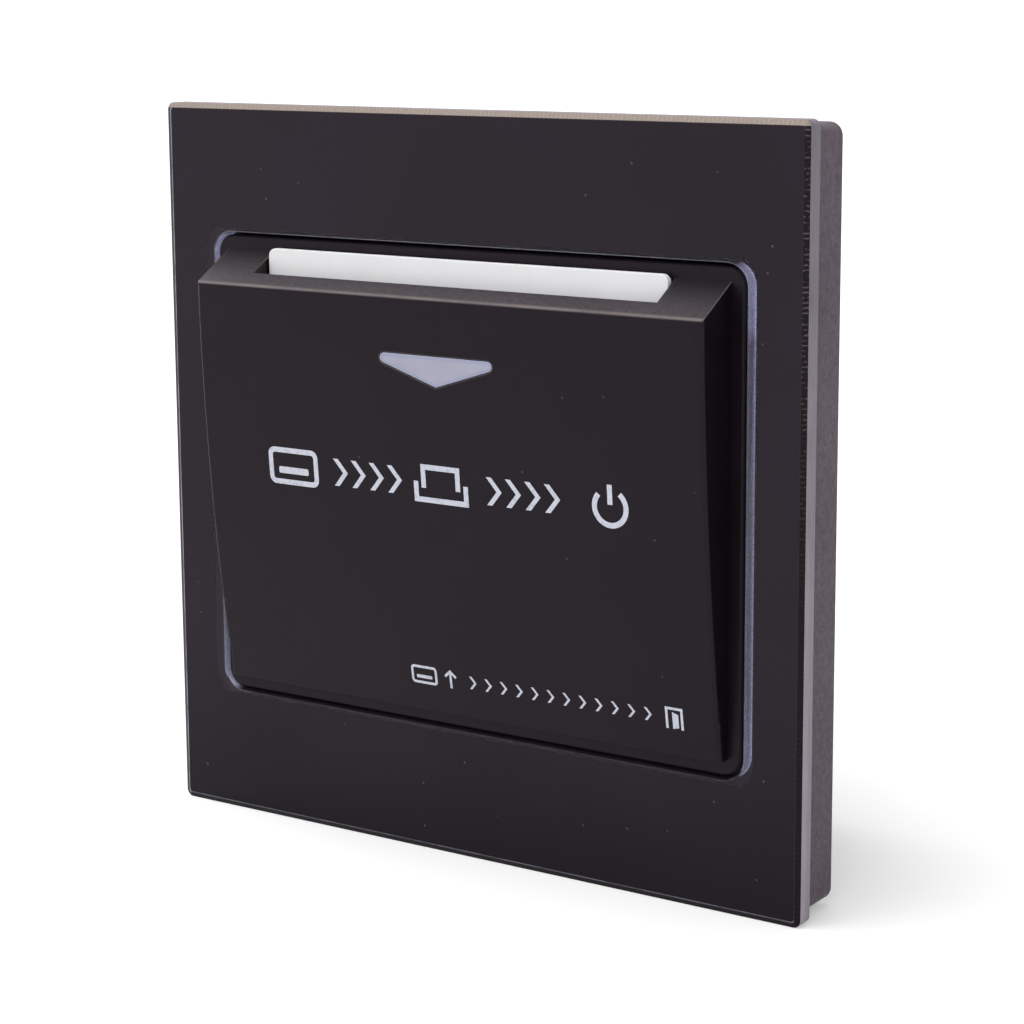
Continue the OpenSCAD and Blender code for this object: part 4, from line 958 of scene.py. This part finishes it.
def pale_floor(height):
    """White floor that keeps the shadow and throws little light back, so pale pieces don't clip."""
    half_side = 30.0
    mat, w = start("pale_floor")
    matt = w.node("ShaderNodeBsdfDiffuse", {}, {"Color": (0.74, 0.74, 0.74, 1)})
    glow = w.node("ShaderNodeEmission", {}, {"Color": (1, 1, 1, 1), "Strength": 0.30})
    both = w.node("ShaderNodeAddShader", {}, {0: matt, 1: glow})
    dim = w.node("ShaderNodeBsdfDiffuse", {}, {"Color": (0.42, 0.42, 0.42, 1)})
    close(mat, w.node("ShaderNodeMixShader", {}, {0: seen_directly(w), 1: dim, 2: both}))
    bm = bmesh.new()
    bmesh.ops.create_grid(bm, x_segments=4, y_segments=4, size=half_side)
    bmesh.ops.translate(bm, verts=bm.verts[:], vec=(0, 0, height))
    floor = bpy.data.objects.new("pale_floor", plain_mesh(bm, "pale_floor", mat))
    bpy.context.scene.collection.objects.link(floor)


def white_room():
    """White where it is seen, and softer as light."""
    world = bpy.data.worlds.new("white_room")
    bpy.context.scene.world = world
    world.use_nodes = True
    world.node_tree.nodes.clear()
    w = Wire(world.node_tree)
    soft = w.node("ShaderNodeBackground", {}, {"Color": (1, 1, 1, 1), "Strength": 0.50})
    white = w.node("ShaderNodeBackground", {}, {"Color": (1, 1, 1, 1), "Strength": 1.0})
    mixed = w.node("ShaderNodeMixShader", {}, {0: seen_directly(w), 1: soft, 2: white})
    out = world.node_tree.nodes.new("ShaderNodeOutputWorld")
    world.node_tree.links.new(mixed.socket, out.inputs["Surface"])


def soft_lamp(name, towards, strength):
    lamp = bpy.data.lights.new(name, "SUN")
    lamp.energy, lamp.angle = strength, LAMP_ANGLE
    held = bpy.data.objects.new(name, lamp)
    held.rotation_mode = "QUATERNION"
    held.rotation_quaternion = Vector(towards).normalized().to_track_quat("-Z", "Y")
    bpy.context.scene.collection.objects.link(held)


def camera():
    """The photograph's camera, as fitted to the corners of the panel."""
    seat = Vector((165.660, -244.864, 57.107)) * MM
    right, up = Vector((0.82973, 0.55813, -0.0061)), Vector((-0.09225, 0.14791, 0.98469))
    back = right.cross(up)
    view = bpy.data.cameras.new("camera")
    view.sensor_width, view.lens = 36.0, 91.455
    view.shift_y = -0.0703
    view.clip_start, view.clip_end = 0.01, 200.0
    held = bpy.data.objects.new("camera", view)
    held.matrix_world = Matrix.Translation(seat) @ Matrix((right, up, back)).transposed().to_4x4()
    bpy.context.scene.collection.objects.link(held)
    bpy.context.scene.camera = held


front_pieces()
prints()
rear_pieces()
inner_finishes()
pale_floor(cad_box[0].z)
white_room()
for lamp in LAMPS:
    soft_lamp(*lamp)
camera()
bpy.context.scene.view_settings.view_transform = "Standard"
